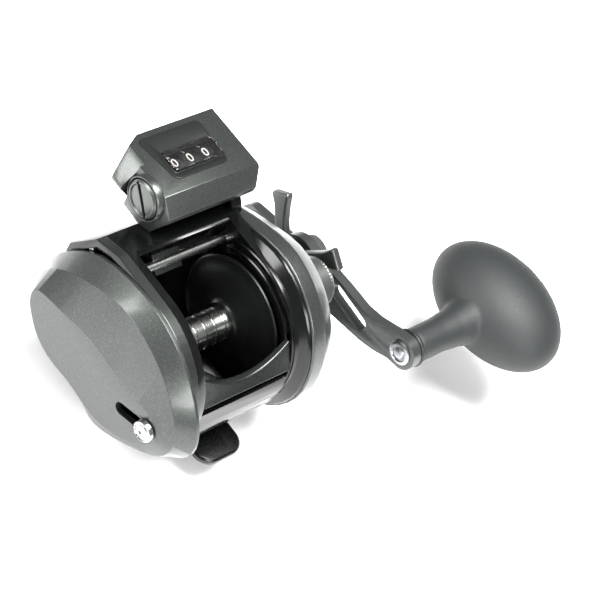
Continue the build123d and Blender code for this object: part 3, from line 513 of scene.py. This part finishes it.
# ---- Sizes and colours that a user would change ----
class ReelSizes(bpy.types.PropertyGroup):
    flake: bpy.props.FloatProperty(
        name="Flake size",
        description="Width of one paint flake",
        default=0.18 * MM,
        unit="LENGTH",
    )
    knurl: bpy.props.FloatProperty(
        name="Knurl depth",
        description="Depth of the cap's diamonds",
        default=0.17 * MM,
        unit="LENGTH",
    )
    saddle: bpy.props.FloatProperty(
        name="Thumb bar dip",
        description="How far the thumb bar dips in its middle",
        default=4.6 * MM,
        unit="LENGTH",
    )
    digit: bpy.props.FloatProperty(
        name="Digit size",
        description="Font size of the counter's digits",
        default=3.9 * MM,
        unit="LENGTH",
    )


class ReelColours(bpy.types.PropertyGroup):
    paint: bpy.props.FloatVectorProperty(
        name="Paint",
        description="Metallic enamel of the covers",
        subtype="COLOR",
        default=linear("#3d403e")[:3],
    )
    frame: bpy.props.FloatVectorProperty(
        name="Frame",
        description="Black anodised frame",
        subtype="COLOR",
        default=linear("#0b0c0c")[:3],
    )
    rim: bpy.props.FloatVectorProperty(
        name="Rim",
        description="Satin rim of the palm side plate",
        subtype="COLOR",
        default=linear("#3a3d3b")[:3],
    )
    arm: bpy.props.FloatVectorProperty(
        name="Arm",
        description="Blasted handle arm, star drag and reset knob",
        subtype="COLOR",
        default=linear("#5b5e5c")[:3],
    )
    knob: bpy.props.FloatVectorProperty(
        name="Knob",
        description="Foam knob",
        subtype="COLOR",
        default=linear("#1d2020")[:3],
    )


# ---- Pieces ----
class REEL_OT_materials(bpy.types.Operator):
    """Mix the finishes and put them on the frame's own nodes"""

    bl_idname = "reel.materials"
    bl_label = "Materials"

    def execute(self, context):
        mix_materials(context.scene.reel_colours, context.scene.reel_sizes)
        for node in frame["nodes"].values():
            for place in node.material_slots:
                if place.material and place.material.name in MATERIALS:
                    place.material = MATERIALS[place.material.name]
        return {"FINISHED"}


class REEL_OT_palm_cover(bpy.types.Operator):
    """Build the faceted palm cover with the clicker's slot"""

    bl_idname = "reel.palm_cover"
    bl_label = "Palm Cover"

    def execute(self, context):
        rings = [
            ring(-21.5, flowing(PALM_OUTLINE)),
            ring(-22.5, flowing(PALM_OUTLINE)),
            ring(-27.5, flowing(PALM_SHOULDER)),
            ring(FACE_X + 0.02, flowing(PALM_FACE), FACE_LEAN),
        ]
        shell = skin("palm_shell", rings)
        soften(shell, 0.5, 3, 14.0)
        hollow = [
            ring(-20.0, shrink(flowing(PALM_OUTLINE), 1.7)),
            ring(-22.5, shrink(flowing(PALM_OUTLINE), 1.7)),
            ring(-27.0, shrink(flowing(PALM_SHOULDER), 2.0)),
            ring(-29.7, shrink(flowing(PALM_FACE), 2.0), FACE_LEAN),
        ]
        inside = skin("palm_hollow", hollow)
        slot = slab("palm_slot", capsule(SLOT_FRONT, SLOT_REAR, 2.0), -40.0, -20.0)
        cut(shell, inside, slot)
        smooth(shell, 32.0)
        fit(shell, "root", "painted_shell", "palm_cover")
        # a black lip lines the slot
        lip = slab("slot_lip", capsule(SLOT_FRONT, SLOT_REAR, 2.6), -30.2, -29.2)
        cut(lip, slab("lip_slot", capsule(SLOT_FRONT, SLOT_REAR, 2.0), -40.0, -20.0))
        fit(lip, "root", "black_plastic")
        return {"FINISHED"}


class REEL_OT_clicker(bpy.types.Operator):
    """Build the chrome clicker button with its turned rings"""

    bl_idname = "reel.clicker"
    bl_label = "Clicker Button"

    def execute(self, context):
        face = FACE_X
        profile = [
            (face - 1.5, 0.0), (face - 1.5, 0.9), (face - 1.9, 1.2), (face - 1.9, 1.9), (face - 1.6, 2.1),
            (face - 1.6, 2.4), (face - 2.0, 2.6), (face - 1.8, 3.0), (face - 1.2, 3.2), (face - 0.5, 3.2),
            (face - 0.2, 3.0), (face - 0.2, 1.6), (face + 2.1, 1.6), (face + 2.1, 2.6), (face + 3.2, 2.6),
            (face + 3.2, 0.0),
        ]
        button = turned("clicker_head", SLOT_REAR, profile, 48, 30.0, FACE_LEAN)
        fit(button, "clicker", "polished_steel", "clicker_button", slot="chrome")
        return {"FINISHED"}


class REEL_OT_frame(bpy.types.Operator):
    """Round the frame's, foot's and rear bar's edges and add the satin rim and the gloss ring"""

    bl_idname = "reel.frame"
    bl_label = "Frame and Foot"

    def execute(self, context):
        fit(refined("frame_body", "frame", 0.3), "root", "black_frame", "frame")
        fit(refined("foot_plate", "foot", 0.35), "root", "foot_black", "foot")
        plate = arc(SPOOL_AXIS, 24.35, 90, 270, 33) + [
            (20.0, -2.05), (29.0, 1.9), (33.05, 15.0), (31.6, 35.0), (24.0, 45.1), (15.0, 47.85)
        ]
        rim = slab("palm_side_rim", rounded(plate, 0.3, 2), -21.4, -18.3)
        cut(rim, slab("rim_bore", shrink(plate, 2.0), -25.0, -10.0))
        soften(rim, 0.25, 2)
        fit(rim, "root", "rim_grey", slot="black_frame")
        belt = [
            ring(16.8, shrink(flowing(SIDE_OUTLINE), 3.6)),
            ring(17.6, shrink(flowing(SIDE_OUTLINE), 2.9)),
            ring(19.0, shrink(flowing(SIDE_OUTLINE), 0.9)),
            ring(20.0, shrink(flowing(SIDE_OUTLINE), 0.5)),
        ]
        gloss = skin("side_belt", belt)
        soften(gloss, 0.3, 2, 14.0)
        bore = turned("belt_bore", SPOOL_AXIS, [(10, 0), (10, 22.6), (30, 22.6), (30, 0)])
        opening = [(0.0, 4.0), (27.0, 4.0), (29.5, 15.0), (27.5, 34.0), (20.5, 43.0), (0.0, 43.0)]
        cut(gloss, bore, slab("belt_front", opening, 10.0, 30.0))
        fit(gloss, "root", "black_frame")
        # two stepped rims stand round the spool on the handle side
        for name, outer, inner, start_x in (("outer_rim", 23.9, 22.6, 15.6), ("inner_rim", 21.6, 20.6, 15.2)):
            profile = [(start_x + 0.3, inner), (start_x, inner + 0.3), (start_x, outer - 0.3)]
            profile += [(start_x + 0.3, outer), (16.4, outer), (16.4, inner), (start_x + 0.3, inner)]
            rim = turned(name, SPOOL_AXIS, profile, 96)
            # the front of each rim is cut away, where the line carriage runs
            cut(rim, slab("rim_front", [(10.0, -5.0), (30.0, -5.0), (30.0, 50.0), (10.0, 50.0)], 10.0, 17.0))
            fit(smooth(rim), "root", "black_frame")
        return {"FINISHED"}


class REEL_OT_side_cover(bpy.types.Operator):
    """Build the handle side's cover with its two bosses"""

    bl_idname = "reel.side_cover"
    bl_label = "Side Cover"

    def execute(self, context):
        rings = [
            ring(20.0, flowing(SIDE_OUTLINE)),
            ring(24.5, flowing(SIDE_OUTLINE)),
            ring(31.0, shrink(flowing(SIDE_OUTLINE), 4.4)),
            ring(37.0, flowing(SIDE_FACE)),
        ]
        shell = skin("side_shell", rings)
        soften(shell, 0.5, 3, 14.0)
        hollow = [
            ring(19.0, shrink(flowing(SIDE_OUTLINE), 1.7)),
            ring(24.5, shrink(flowing(SIDE_OUTLINE), 1.7)),
            ring(30.2, shrink(flowing(SIDE_OUTLINE), 6.2)),
            ring(35.3, shrink(flowing(SIDE_FACE), 1.7)),
        ]
        cut(shell, skin("side_hollow", hollow))
        cap_profile = [(32, 0), (32, 6.2), (36.9, 6.2), (38.5, 6.2), (43.6, 6.2), (44, 5.8), (44, 0)]
        cap_boss = turned("cap_boss", SPOOL_AXIS, cap_profile)
        clutch_profile = [(33, 0), (33, 7.7), (41.6, 7.7), (42.2, 7.1), (42.2, 0)]
        clutch_boss = turned("clutch_boss", MAIN_AXIS, clutch_profile)
        cut(shell, cap_boss, clutch_boss, operation="UNION")
        bearing = turned("bearing_bore", SPOOL_AXIS, [(31, 0), (31, 4.0), (45, 4.0), (45, 0)])
        clutch = turned("clutch_bore", MAIN_AXIS, [(31, 0), (31, 6.0), (45, 6.0), (45, 0)])
        gears = turned("gear_way", (23.4, 43.6), [(19, 0), (19, 7.0), (22.6, 7.0), (22.6, 0)])
        cut(shell, bearing, clutch, gears)
        smooth(shell, 32.0)
        fit(shell, "root", "painted_shell", "side_cover")
        return {"FINISHED"}


class REEL_OT_spool(bpy.types.Operator):
    """Turn the spool with its rolled flange rims and grooved arbor"""

    bl_idname = "reel.spool"
    bl_label = "Spool"

    def execute(self, context):
        half = [
            (15.4, 2.0), (15.4, 17.6), (15.2, 18.3), (14.8, 18.6), (14.3, 18.5), (14.1, 18.0), (14.2, 17.2),
            (13.6, 15.6), (12.6, 11.0), (11.6, 7.2), (11.2, 6.3), (10.6, 5.9), (10.6, 3.9),
        ]
        profile = half + [(-x, r) for x, r in reversed(half)] + [half[0]]
        fit(turned("spool_body", SPOOL_AXIS, profile, 96), "spool_body", "spool_black", "spool")
        arbor = [(-10.55, 3.95), (-10.55, 4.9)]
        for k in range(6):
            x = -8.5 + 3.4 * k
            arbor += [(x - 0.4, 4.9), (x - 0.2, 4.6), (x + 0.2, 4.6), (x + 0.4, 4.9)]
        arbor += [(10.55, 4.9), (10.55, 3.95), (-10.55, 3.95)]
        fit(turned("grooved_arbor", SPOOL_AXIS, arbor, 72), "spool_body", "polished_steel", "spool_arbor")
        return {"FINISHED"}


class REEL_OT_thumb_bar(bpy.types.Operator):
    """Build the dipped thumb bar across the back"""

    bl_idname = "reel.thumb_bar"
    bl_label = "Thumb Bar"

    def execute(self, context):
        dip = context.scene.reel_sizes.saddle / MM
        section = [
            (-25.8, 28.0), (-24.2, 28.0), (-22.6, 29.0), (-20.9, 31.0), (-19.4, 34.4), (-19.8, 35.0),
            (-21.0, 35.4), (-22.2, 33.6), (-24.0, 30.6),
        ]
        rings = []
        for k in range(13):
            x = -15.6 + 2.6 * k
            drop = dip * (1 - (x / 15.6) ** 2)
            rings.append([(x, y - drop * (z - 28) / 14, z - drop * (z - 28) / 7) for y, z in section])
        bar = skin("thumb_saddle", rings, 50.0)
        soften(bar, 0.3, 2, 40.0)
        fit(bar, "thumb", "black_plastic", "thumb_bar")
        return {"FINISHED"}


class REEL_OT_counter_case(bpy.types.Operator):
    """Build the counter's case with its facets, window and knob seat"""

    bl_idname = "reel.counter_case"
    bl_label = "Counter Case"

    def execute(self, context):
        case = slab("counter_shell", CASE_OUTLINE, -11.0, 26.5)
        # the left end slopes above and below the nose, which has a sharp tip
        above = [(-12.0, 31.0, 53.0), (-4.6, 31.0, 61.6), (-12.0, 31.0, 61.6)]
        below = [(-12.0, 31.0, 54.0), (-12.0, 31.0, 38.0), (2.0, 31.0, 38.0)]
        seat_corners = [(-14.0, 5.0, 30.0), (-7.4, 5.0, 30.0), (-7.4, 31.0, 30.0), (-14.0, 31.0, 30.0)]
        slope = prism("case_slope", above, (0, 20.0, 0))
        nose = prism("case_nose", [(-12.0, 34.8, 40.0), (1.0, 41.8, 40.0), (-12.0, 41.8, 40.0)], (0, 0, 24.0))
        seat = prism("knob_seat", seat_corners, (0, 0, 40.0))
        right = prism("case_end", [(24.9, 10.0, 63.0), (28.0, 10.0, 63.0), (28.0, 10.0, 52.0)], (0, 40.0, 0))
        rear = prism("case_rear", [(20.0, 10.0, 40.0), (28.0, 10.0, 40.0), (28.0, 22.0, 40.0)], (0, 0, 30.0))
        under = prism("case_under", below, (0, 20.0, 0))
        cut(case, slope, nose, under, seat, right, rear)
        soften(case, 0.45, 2, 20.0)
        hollow = slab("case_hollow", shrink(CASE_OUTLINE, 1.9), -2.2, 24.0)
        window = prism("case_window", [(x, y, 50.0) for x, y in WINDOW], (0, 0, 20.0))
        bore = turned("knob_bore", RESET_AXIS, [(-12, 0), (-12, 1.55), (-3.4, 1.55), (-3.4, 0)], 24)
        gears = turned("counter_way", (23.4, 43.6), [(19.8, 0), (19.8, 7.0), (22.4, 7.0), (22.4, 0)])
        cut(case, hollow, window, bore, gears)
        smooth(case, 30.0)
        fit(case, "root", "painted_shell", "counter_case")
        # a drum covers the gear between the side plate and the counter
        drum = [(19.2, 1.3), (19.2, 7.6), (22.9, 7.6), (22.9, 1.3)]
        drum += [(22.5, 1.3), (22.5, 6.9), (19.6, 6.9), (19.6, 1.3), (19.2, 1.3)]
        housing = turned("gear_housing", GEAR_AXIS, drum)
        for name, centre, reach in (("counter_gap", COUNTER_AXIS, 6.6), ("worm_gap", WORM_AXIS, 6.1)):
            cut(housing, turned(name, centre, [(19.9, 0), (19.9, reach), (22.3, reach), (22.3, 0)]))
        smooth(housing, 30.0)
        fit(housing, "root", "black_frame")
        collar = [(-7.0, 6.5), (-8.9, 6.5), (-9.3, 6.3), (-9.3, 6.0), (-9.0, 5.8), (-7.0, 5.8), (-7.0, 6.5)]
        fit(turned("knob_collar", RESET_AXIS, collar, 72), "root", "painted_shell")
        return {"FINISHED"}


class REEL_OT_counter_top(bpy.types.Operator):
    """Build the counter's label, its window frame and its clear lens"""

    bl_idname = "reel.counter_top"
    bl_label = "Label and Lens"

    def execute(self, context):
        outline = rounded([(-0.4, 23.2), (17.8, 23.2), (18.6, 38.6), (-2.9, 38.6)], 1.8)
        label = prism("label_plate", [(x, y, 60.6) for x, y in outline], (0, 0, 0.4))
        hole = rounded(WINDOW, 0.7)
        cut(label, prism("label_hole", [(x, y, 59.0) for x, y in hole], (0, 0, 4.0)))
        soften(label, 0.12, 2)
        fit(label, "root", "label_black", "counter_label")
        frame_out = rounded([(-0.1, 24.7), (18.1, 24.7), (18.1, 32.5), (-0.1, 32.5)], 1.2)
        lip = prism("window_lip", [(x, y, 60.95) for x, y in frame_out], (0, 0, 0.35))
        cut(lip, prism("lip_hole", [(x, y, 59.0) for x, y in hole], (0, 0, 4.0)))
        soften(lip, 0.12, 2)
        fit(lip, "root", "black_plastic")
        top = rounded([(0.4, 25.2), (17.6, 25.2), (17.6, 32.0), (0.4, 32.0)], 1.0)
        lens = prism("clear_lens", [(x, y, 61.3) for x, y in top], (0, 0, 0.65))
        soften(lens, 0.25, 3)
        fit(lens, "root", "clear_lens", "counter_window")
        return {"FINISHED"}


class REEL_OT_digits(bpy.types.Operator):
    """Print the digits on the three counter wheels, with nought on top"""

    bl_idname = "reel.digits"
    bl_label = "Digit Wheels"

    def execute(self, context):
        size = context.scene.reel_sizes.digit
        for body, x in (("hundreds", 3.6), ("tens", 9.0), ("ones", 14.4)):
            figures = []
            for number in range(10):
                bpy.ops.object.select_all(action="DESELECT")
                bpy.ops.object.text_add()
                figure = context.active_object
                figure.data.body = str(number)
                figure.data.size = size
                figure.data.extrude = 0.06 * MM
                figure.data.align_x = "CENTER"
                figure.data.align_y = "CENTER"
                bpy.ops.object.convert(target="MESH")
                turn = Matrix.Rotation(math.radians(-36.0 * number), 4, "X")
                lift = Matrix.Translation(Vector((0, 0.25, 6.0)) * MM)
                home = Matrix.Translation(Vector((x, *COUNTER_AXIS)) * MM)
                figure.matrix_world = home @ turn @ lift
                bpy.ops.object.transform_apply(location=True, rotation=True, scale=True)
                figures.append(figure)
            bpy.ops.object.select_all(action="DESELECT")
            for figure in figures:
                figure.select_set(True)
            context.view_layer.objects.active = figures[0]
            bpy.ops.object.join()
            printed = context.active_object
            printed.name = printed.data.name = f"figures_{body}"
            fit(printed, body, "digit_white", slot="digit_black")
        return {"FINISHED"}


class REEL_OT_reset_knob(bpy.types.Operator):
    """Turn the counter's reset knob and mill its coin slot"""

    bl_idname = "reel.reset_knob"
    bl_label = "Reset Knob"

    def execute(self, context):
        profile = [
            (-9.7, 0.0), (-9.75, 3.6), (-9.6, 4.2), (-9.95, 4.5), (-9.9, 5.0), (-9.4, 5.5), (-9.0, 5.6),
            (-7.65, 5.6), (-7.6, 1.5), (-4.2, 1.5), (-4.2, 0.0),
        ]
        knob = turned("reset_dial", RESET_AXIS, profile, 64)
        ends = [polar(RESET_AXIS, 4.6, 48.0), polar(RESET_AXIS, 4.6, 228.0)]
        cut(knob, slab("coin_slot", capsule(ends[0], ends[1], 0.62, 5), -11.0, -8.9))
        smooth(knob, 30.0)
        fit(knob, "reset", "dark_arm", "reset_knob")
        return {"FINISHED"}


class REEL_OT_cast_control(bpy.types.Operator):
    """Turn the cast control cap and roll its diamond knurl"""

    bl_idname = "reel.cast_control"
    bl_label = "Cast Control Cap"

    def execute(self, context):
        depth = context.scene.reel_sizes.knurl
        rows = [39.9 + 0.5 * k for k in range(16)]
        profile = [(39.0, 6.3), (39.0, 7.0), (39.5, 7.3)] + [(x, 7.45) for x in rows]
        profile += [(47.8, 7.2), (48.2, 6.8), (48.4, 6.2), (48.3, 5.2), (48.1, 5.0), (48.1, 0.0)]
        profile += [(46.6, 0.0), (46.6, 6.3), (39.0, 6.3)]
        steps = 96
        cap = turned("knurled_cap", SPOOL_AXIS, profile, steps, 20.0)
        bpy.ops.object.mode_set(mode="EDIT")
        bpy.ops.mesh.select_all(action="DESELECT")
        grid = bmesh.from_edit_mesh(cap.data)
        for corner in grid.verts:
            y, z = corner.co.y / MM - SPOOL_AXIS[0], corner.co.z / MM - SPOOL_AXIS[1]
            row = (corner.co.x / MM - rows[0]) / 0.5
            step = math.atan2(z, y) * steps / math.tau
            on_wall = abs(math.hypot(y, z) - 7.45) < 0.02 and 0.5 < row < len(rows) - 1.5
            corner.select = on_wall and (round(row) + round(step)) % 2 == 0
        bmesh.update_edit_mesh(cap.data)
        bpy.ops.transform.shrink_fatten(value=-depth)
        close_up(cap, 12.0)
        fit(cap, "cast_control", "knurled_black", "cast_control_cap")
        return {"FINISHED"}


class REEL_OT_star_drag(bpy.types.Operator):
    """Build one star lever, copy it round and join the levers to the hub"""

    bl_idname = "reel.star_drag"
    bl_label = "Star Drag"

    def execute(self, context):
        outline = []
        for radius, turn in ((5.0, -38), (9.5, -22), (14.0, -13), (18.5, -9), (22.4, -9), (22.85, -7)):
            outline.append(polar(MAIN_AXIS, radius, STAR_FIRST + turn))
        for radius, turn in ((22.85, 7), (22.4, 8.5), (18.5, 6.5), (14.0, 4.5), (9.5, 5.0), (5.0, 6.0)):
            outline.append(polar(MAIN_AXIS, radius, STAR_FIRST + turn))
        lever = slab("star_levers", outline, 50.0, 52.6)
        soften(lever, 0.55, 3, 50.0)
        levers = [lever]
        centre = Vector((0, *MAIN_AXIS)) * MM
        for k in range(1, 5):
            bpy.ops.object.select_all(action="DESELECT")
            other = lever.copy()
            other.data = lever.data.copy()
            context.scene.collection.objects.link(other)
            other.select_set(True)
            context.view_layer.objects.active = other
            bpy.ops.object.mode_set(mode="EDIT")
            bpy.ops.mesh.select_all(action="SELECT")
            bpy.ops.transform.rotate(value=math.radians(72 * k), orient_axis="X", center_override=centre)
            bpy.ops.object.mode_set(mode="OBJECT")
            levers.append(other)
        profile = [(47, 2.55), (47, 6.0), (47.4, 6.4), (49.6, 6.4), (49.9, 7.2), (52.7, 7.2)]
        profile += [(53, 6.4), (53.7, 6.2), (54, 5.8), (54, 2.55), (47, 2.55)]
        hub = turned("star_hub", MAIN_AXIS, profile)
        cut(hub, *levers, operation="UNION")
        bore = turned("hub_bore", MAIN_AXIS, [(46, 0), (46, 2.55), (55, 2.55), (55, 0)], 48)
        cut(hub, bore)
        smooth(hub, 35.0)
        hub.name = hub.data.name = "star_wheel"
        fit(hub, "star", "dark_arm", "star_drag")
        return {"FINISHED"}


class REEL_OT_handle_arm(bpy.types.Operator):
    """Build the slotted arm, its nut cap and the knob's rivet and ring"""

    bl_idname = "reel.handle_arm"
    bl_label = "Handle Arm"

    def execute(self, context):
        local = arc((-20.9, 0.0), 4.6, 90, 270, 13) + arc((0, 0), 8.0, 215, 285, 9)
        local += ARM_UPPER + arc((44.4, 0), 5.35, -80, 80, 17) + ARM_LOWER + arc((0, 0), 8.0, 75, 145, 9)
        heading = Matrix.Rotation(math.radians(ARM_ANGLE), 2)
        outline = [tuple(Vector(MAIN_AXIS) + heading @ Vector(p)) for p in local]
        arm = slab("arm_plate", outline, 55.0, 58.2)
        ends = [tuple(Vector(MAIN_AXIS) + heading @ Vector(p)) for p in ((17.1, -1.1), (27.9, 2.2))]
        slot = slab("arm_slot", capsule(ends[0], ends[1], 2.6), 50.0, 60.0)
        shaft = turned("shaft_bore", MAIN_AXIS, [(54, 0), (54, 2.5), (59, 2.5), (59, 0)], 48)
        pin = turned("pin_bore", KNOB_AXIS, [(54, 0), (54, 2.0), (59, 2.0), (59, 0)], 48)
        cut(arm, slot, shaft, pin)
        soften(arm, 0.55, 3, 50.0)
        fit(arm, "handle", "dark_arm", "handle_arm")
        dome = [(58.2, 5.0), (58.2, 6.2), (58.5, 6.4), (61.6, 6.4), (62.2, 6.1), (62.5, 5.6)]
        dome += [(62.35, 4.6), (62.7, 3.0), (62.8, 0.0), (61.6, 0.0), (61.6, 5.0), (58.2, 5.0)]
        fit(turned("cap_dome", MAIN_AXIS, dome), "handle", "chrome", "nut_cap")
        head = [(54.1, 0.0), (54.05, 1.0), (54.3, 1.7), (54.6, 1.9), (54.6, 2.5), (54.2, 2.7), (54.3, 3.4)]
        head += [(54.6, 3.8), (54.95, 3.8), (54.95, 2.0), (84.0, 2.0), (84.0, 2.6), (85.4, 2.6), (85.4, 0.0)]
        rivet = turned("knob_rivet", KNOB_AXIS, head)
        fit(rivet, "handle", "machined_steel", "knob_spindle", slot="chrome")
        seal = [(58.25, 2.1), (58.25, 5.2), (58.4, 5.6), (58.8, 5.8), (59.2, 5.6), (59.4, 5.2), (59.4, 2.1)]
        seal.append(seal[0])
        fit(turned("knob_ring", KNOB_AXIS, seal), "handle", "rubber", "knob_washer")
        return {"FINISHED"}


class REEL_OT_knob(bpy.types.Operator):
    """Shape the foam knob: a flattened ball that flows into its neck"""

    bl_idname = "reel.knob"
    bl_label = "Foam Knob"

    def execute(self, context):
        centre = Vector((96.0, *KNOB_AXIS)) * MM
        bpy.ops.object.select_all(action="DESELECT")
        bpy.ops.mesh.primitive_uv_sphere_add(segments=72, ring_count=48, radius=MM, location=centre)
        knob = context.active_object
        knob.name = knob.data.name = "foam_knob"
        bpy.ops.object.transform_apply(location=True, rotation=True, scale=True)
        bpy.ops.object.mode_set(mode="EDIT")
        bpy.ops.mesh.select_all(action="SELECT")
        bpy.ops.transform.resize(value=(16.3, 23.3, 13.5), center_override=centre)
        bpy.ops.object.mode_set(mode="OBJECT")
        profile = [(59.7, 0), (59.7, 4.7), (60.2, 5.15), (70, 5.15), (76, 5.8), (80, 6.7)]
        profile += [(84, 8.2), (88, 10.2), (92, 12.0), (92, 0)]
        neck = turned("knob_neck", KNOB_AXIS, profile)
        cut(knob, neck, operation="UNION")
        use_modifier(knob, "REMESH", mode="VOXEL", voxel_size=0.55 * MM)
        use_modifier(knob, "SMOOTH", factor=0.5, iterations=6)
        bore = turned("knob_bore", KNOB_AXIS, [(58, 0), (58, 2.9), (86.5, 2.9), (86.5, 0)], 48)
        cut(knob, bore)
        smooth(knob, 45.0)
        fit(knob, "knob_body", "knob_foam", "knob")
        return {"FINISHED"}


class REEL_OT_level_wind(bpy.types.Operator):
    """Round the edges of the line carriage, its eye and the worm's tube"""

    bl_idname = "reel.level_wind"
    bl_label = "Level Wind"

    def execute(self, context):
        fit(refined("carriage_body", "line_carriage", 0.2), "carriage", "black_plastic", "line_carriage")
        fit(refined("tube_body", "worm_tube", 0.15), "root", "black_plastic", "worm_tube")
        return {"FINISHED"}


class REEL_OT_stage(bpy.types.Operator):
    """Set the pale floor, the soft lights and the camera"""

    bl_idname = "reel.stage"
    bl_label = "Stage"

    def execute(self, context):
        low, high = START_LOW, START_HIGH
        bpy.ops.object.select_all(action="DESELECT")
        bpy.ops.mesh.primitive_plane_add(size=6.0, location=(0, 0, low.z - 0.0002))
        floor = context.active_object
        floor.name = "floor"
        # White card: matt, and bright enough to read as pure white under the lamps.
        card = new_material("Card, white and matt", linear("#ffffff"), 0.9)
        floor.data.materials.append(card)
        middle = (low + high) / 2
        for name, offset, size, power in LAMPS:
            bpy.ops.object.light_add(type="AREA", location=middle + Vector(offset))
            lamp = context.active_object
            lamp.name = name
            lamp.data.size = size
            lamp.data.energy = power
            lamp.rotation_euler = (-Vector(offset)).to_track_quat("-Z", "Y").to_euler()
        world = bpy.data.worlds.new("Pale studio")
        world.use_nodes = True
        world.node_tree.nodes["Background"].inputs["Color"].default_value = linear("#ffffff")
        world.node_tree.nodes["Background"].inputs["Strength"].default_value = WORLD_STRENGTH
        context.scene.world = world
        bpy.ops.object.camera_add(
            location=Vector((-323.99, -199.12, 446.0)) * MM,
            rotation=[math.radians(a) for a in (40.193, -20.069, -39.775)],
        )
        camera = context.active_object
        camera.data.sensor_width = 36.0
        camera.data.lens = 125.37
        camera.data.clip_start = 0.01
        camera.data.clip_end = 20.0
        context.scene.camera = camera
        context.scene.view_settings.view_transform = "Standard"
        return {"FINISHED"}


STEPS = (
    REEL_OT_materials,
    REEL_OT_palm_cover,
    REEL_OT_clicker,
    REEL_OT_frame,
    REEL_OT_side_cover,
    REEL_OT_spool,
    REEL_OT_thumb_bar,
    REEL_OT_counter_case,
    REEL_OT_counter_top,
    REEL_OT_digits,
    REEL_OT_reset_knob,
    REEL_OT_cast_control,
    REEL_OT_star_drag,
    REEL_OT_handle_arm,
    REEL_OT_knob,
    REEL_OT_level_wind,
    REEL_OT_stage,
)


class REEL_PT_panel(bpy.types.Panel):
    """Lists the reel's pieces, in the order they are built"""

    bl_idname = "REEL_PT_panel"
    bl_label = "Line Counter Reel"
    bl_space_type = "VIEW_3D"
    bl_region_type = "UI"
    bl_category = "Reel"

    def draw(self, context):
        for group in (context.scene.reel_sizes, context.scene.reel_colours):
            for name in group.__annotations__:
                self.layout.prop(group, name)
        for step in STEPS:
            self.layout.operator(step.bl_idname)


CLASSES = (ReelSizes, ReelColours) + STEPS + (REEL_PT_panel,)


def register():
    for kind in CLASSES:
        bpy.utils.register_class(kind)
    bpy.types.Scene.reel_sizes = bpy.props.PointerProperty(type=ReelSizes)
    bpy.types.Scene.reel_colours = bpy.props.PointerProperty(type=ReelColours)


def unregister():
    del bpy.types.Scene.reel_colours
    del bpy.types.Scene.reel_sizes
    for kind in reversed(CLASSES):
        bpy.utils.unregister_class(kind)


def main():
    register()
    for step in STEPS:
        group, name = step.bl_idname.split(".")
        getattr(getattr(bpy.ops, group), name)()


if __name__ == "__main__":
    main()
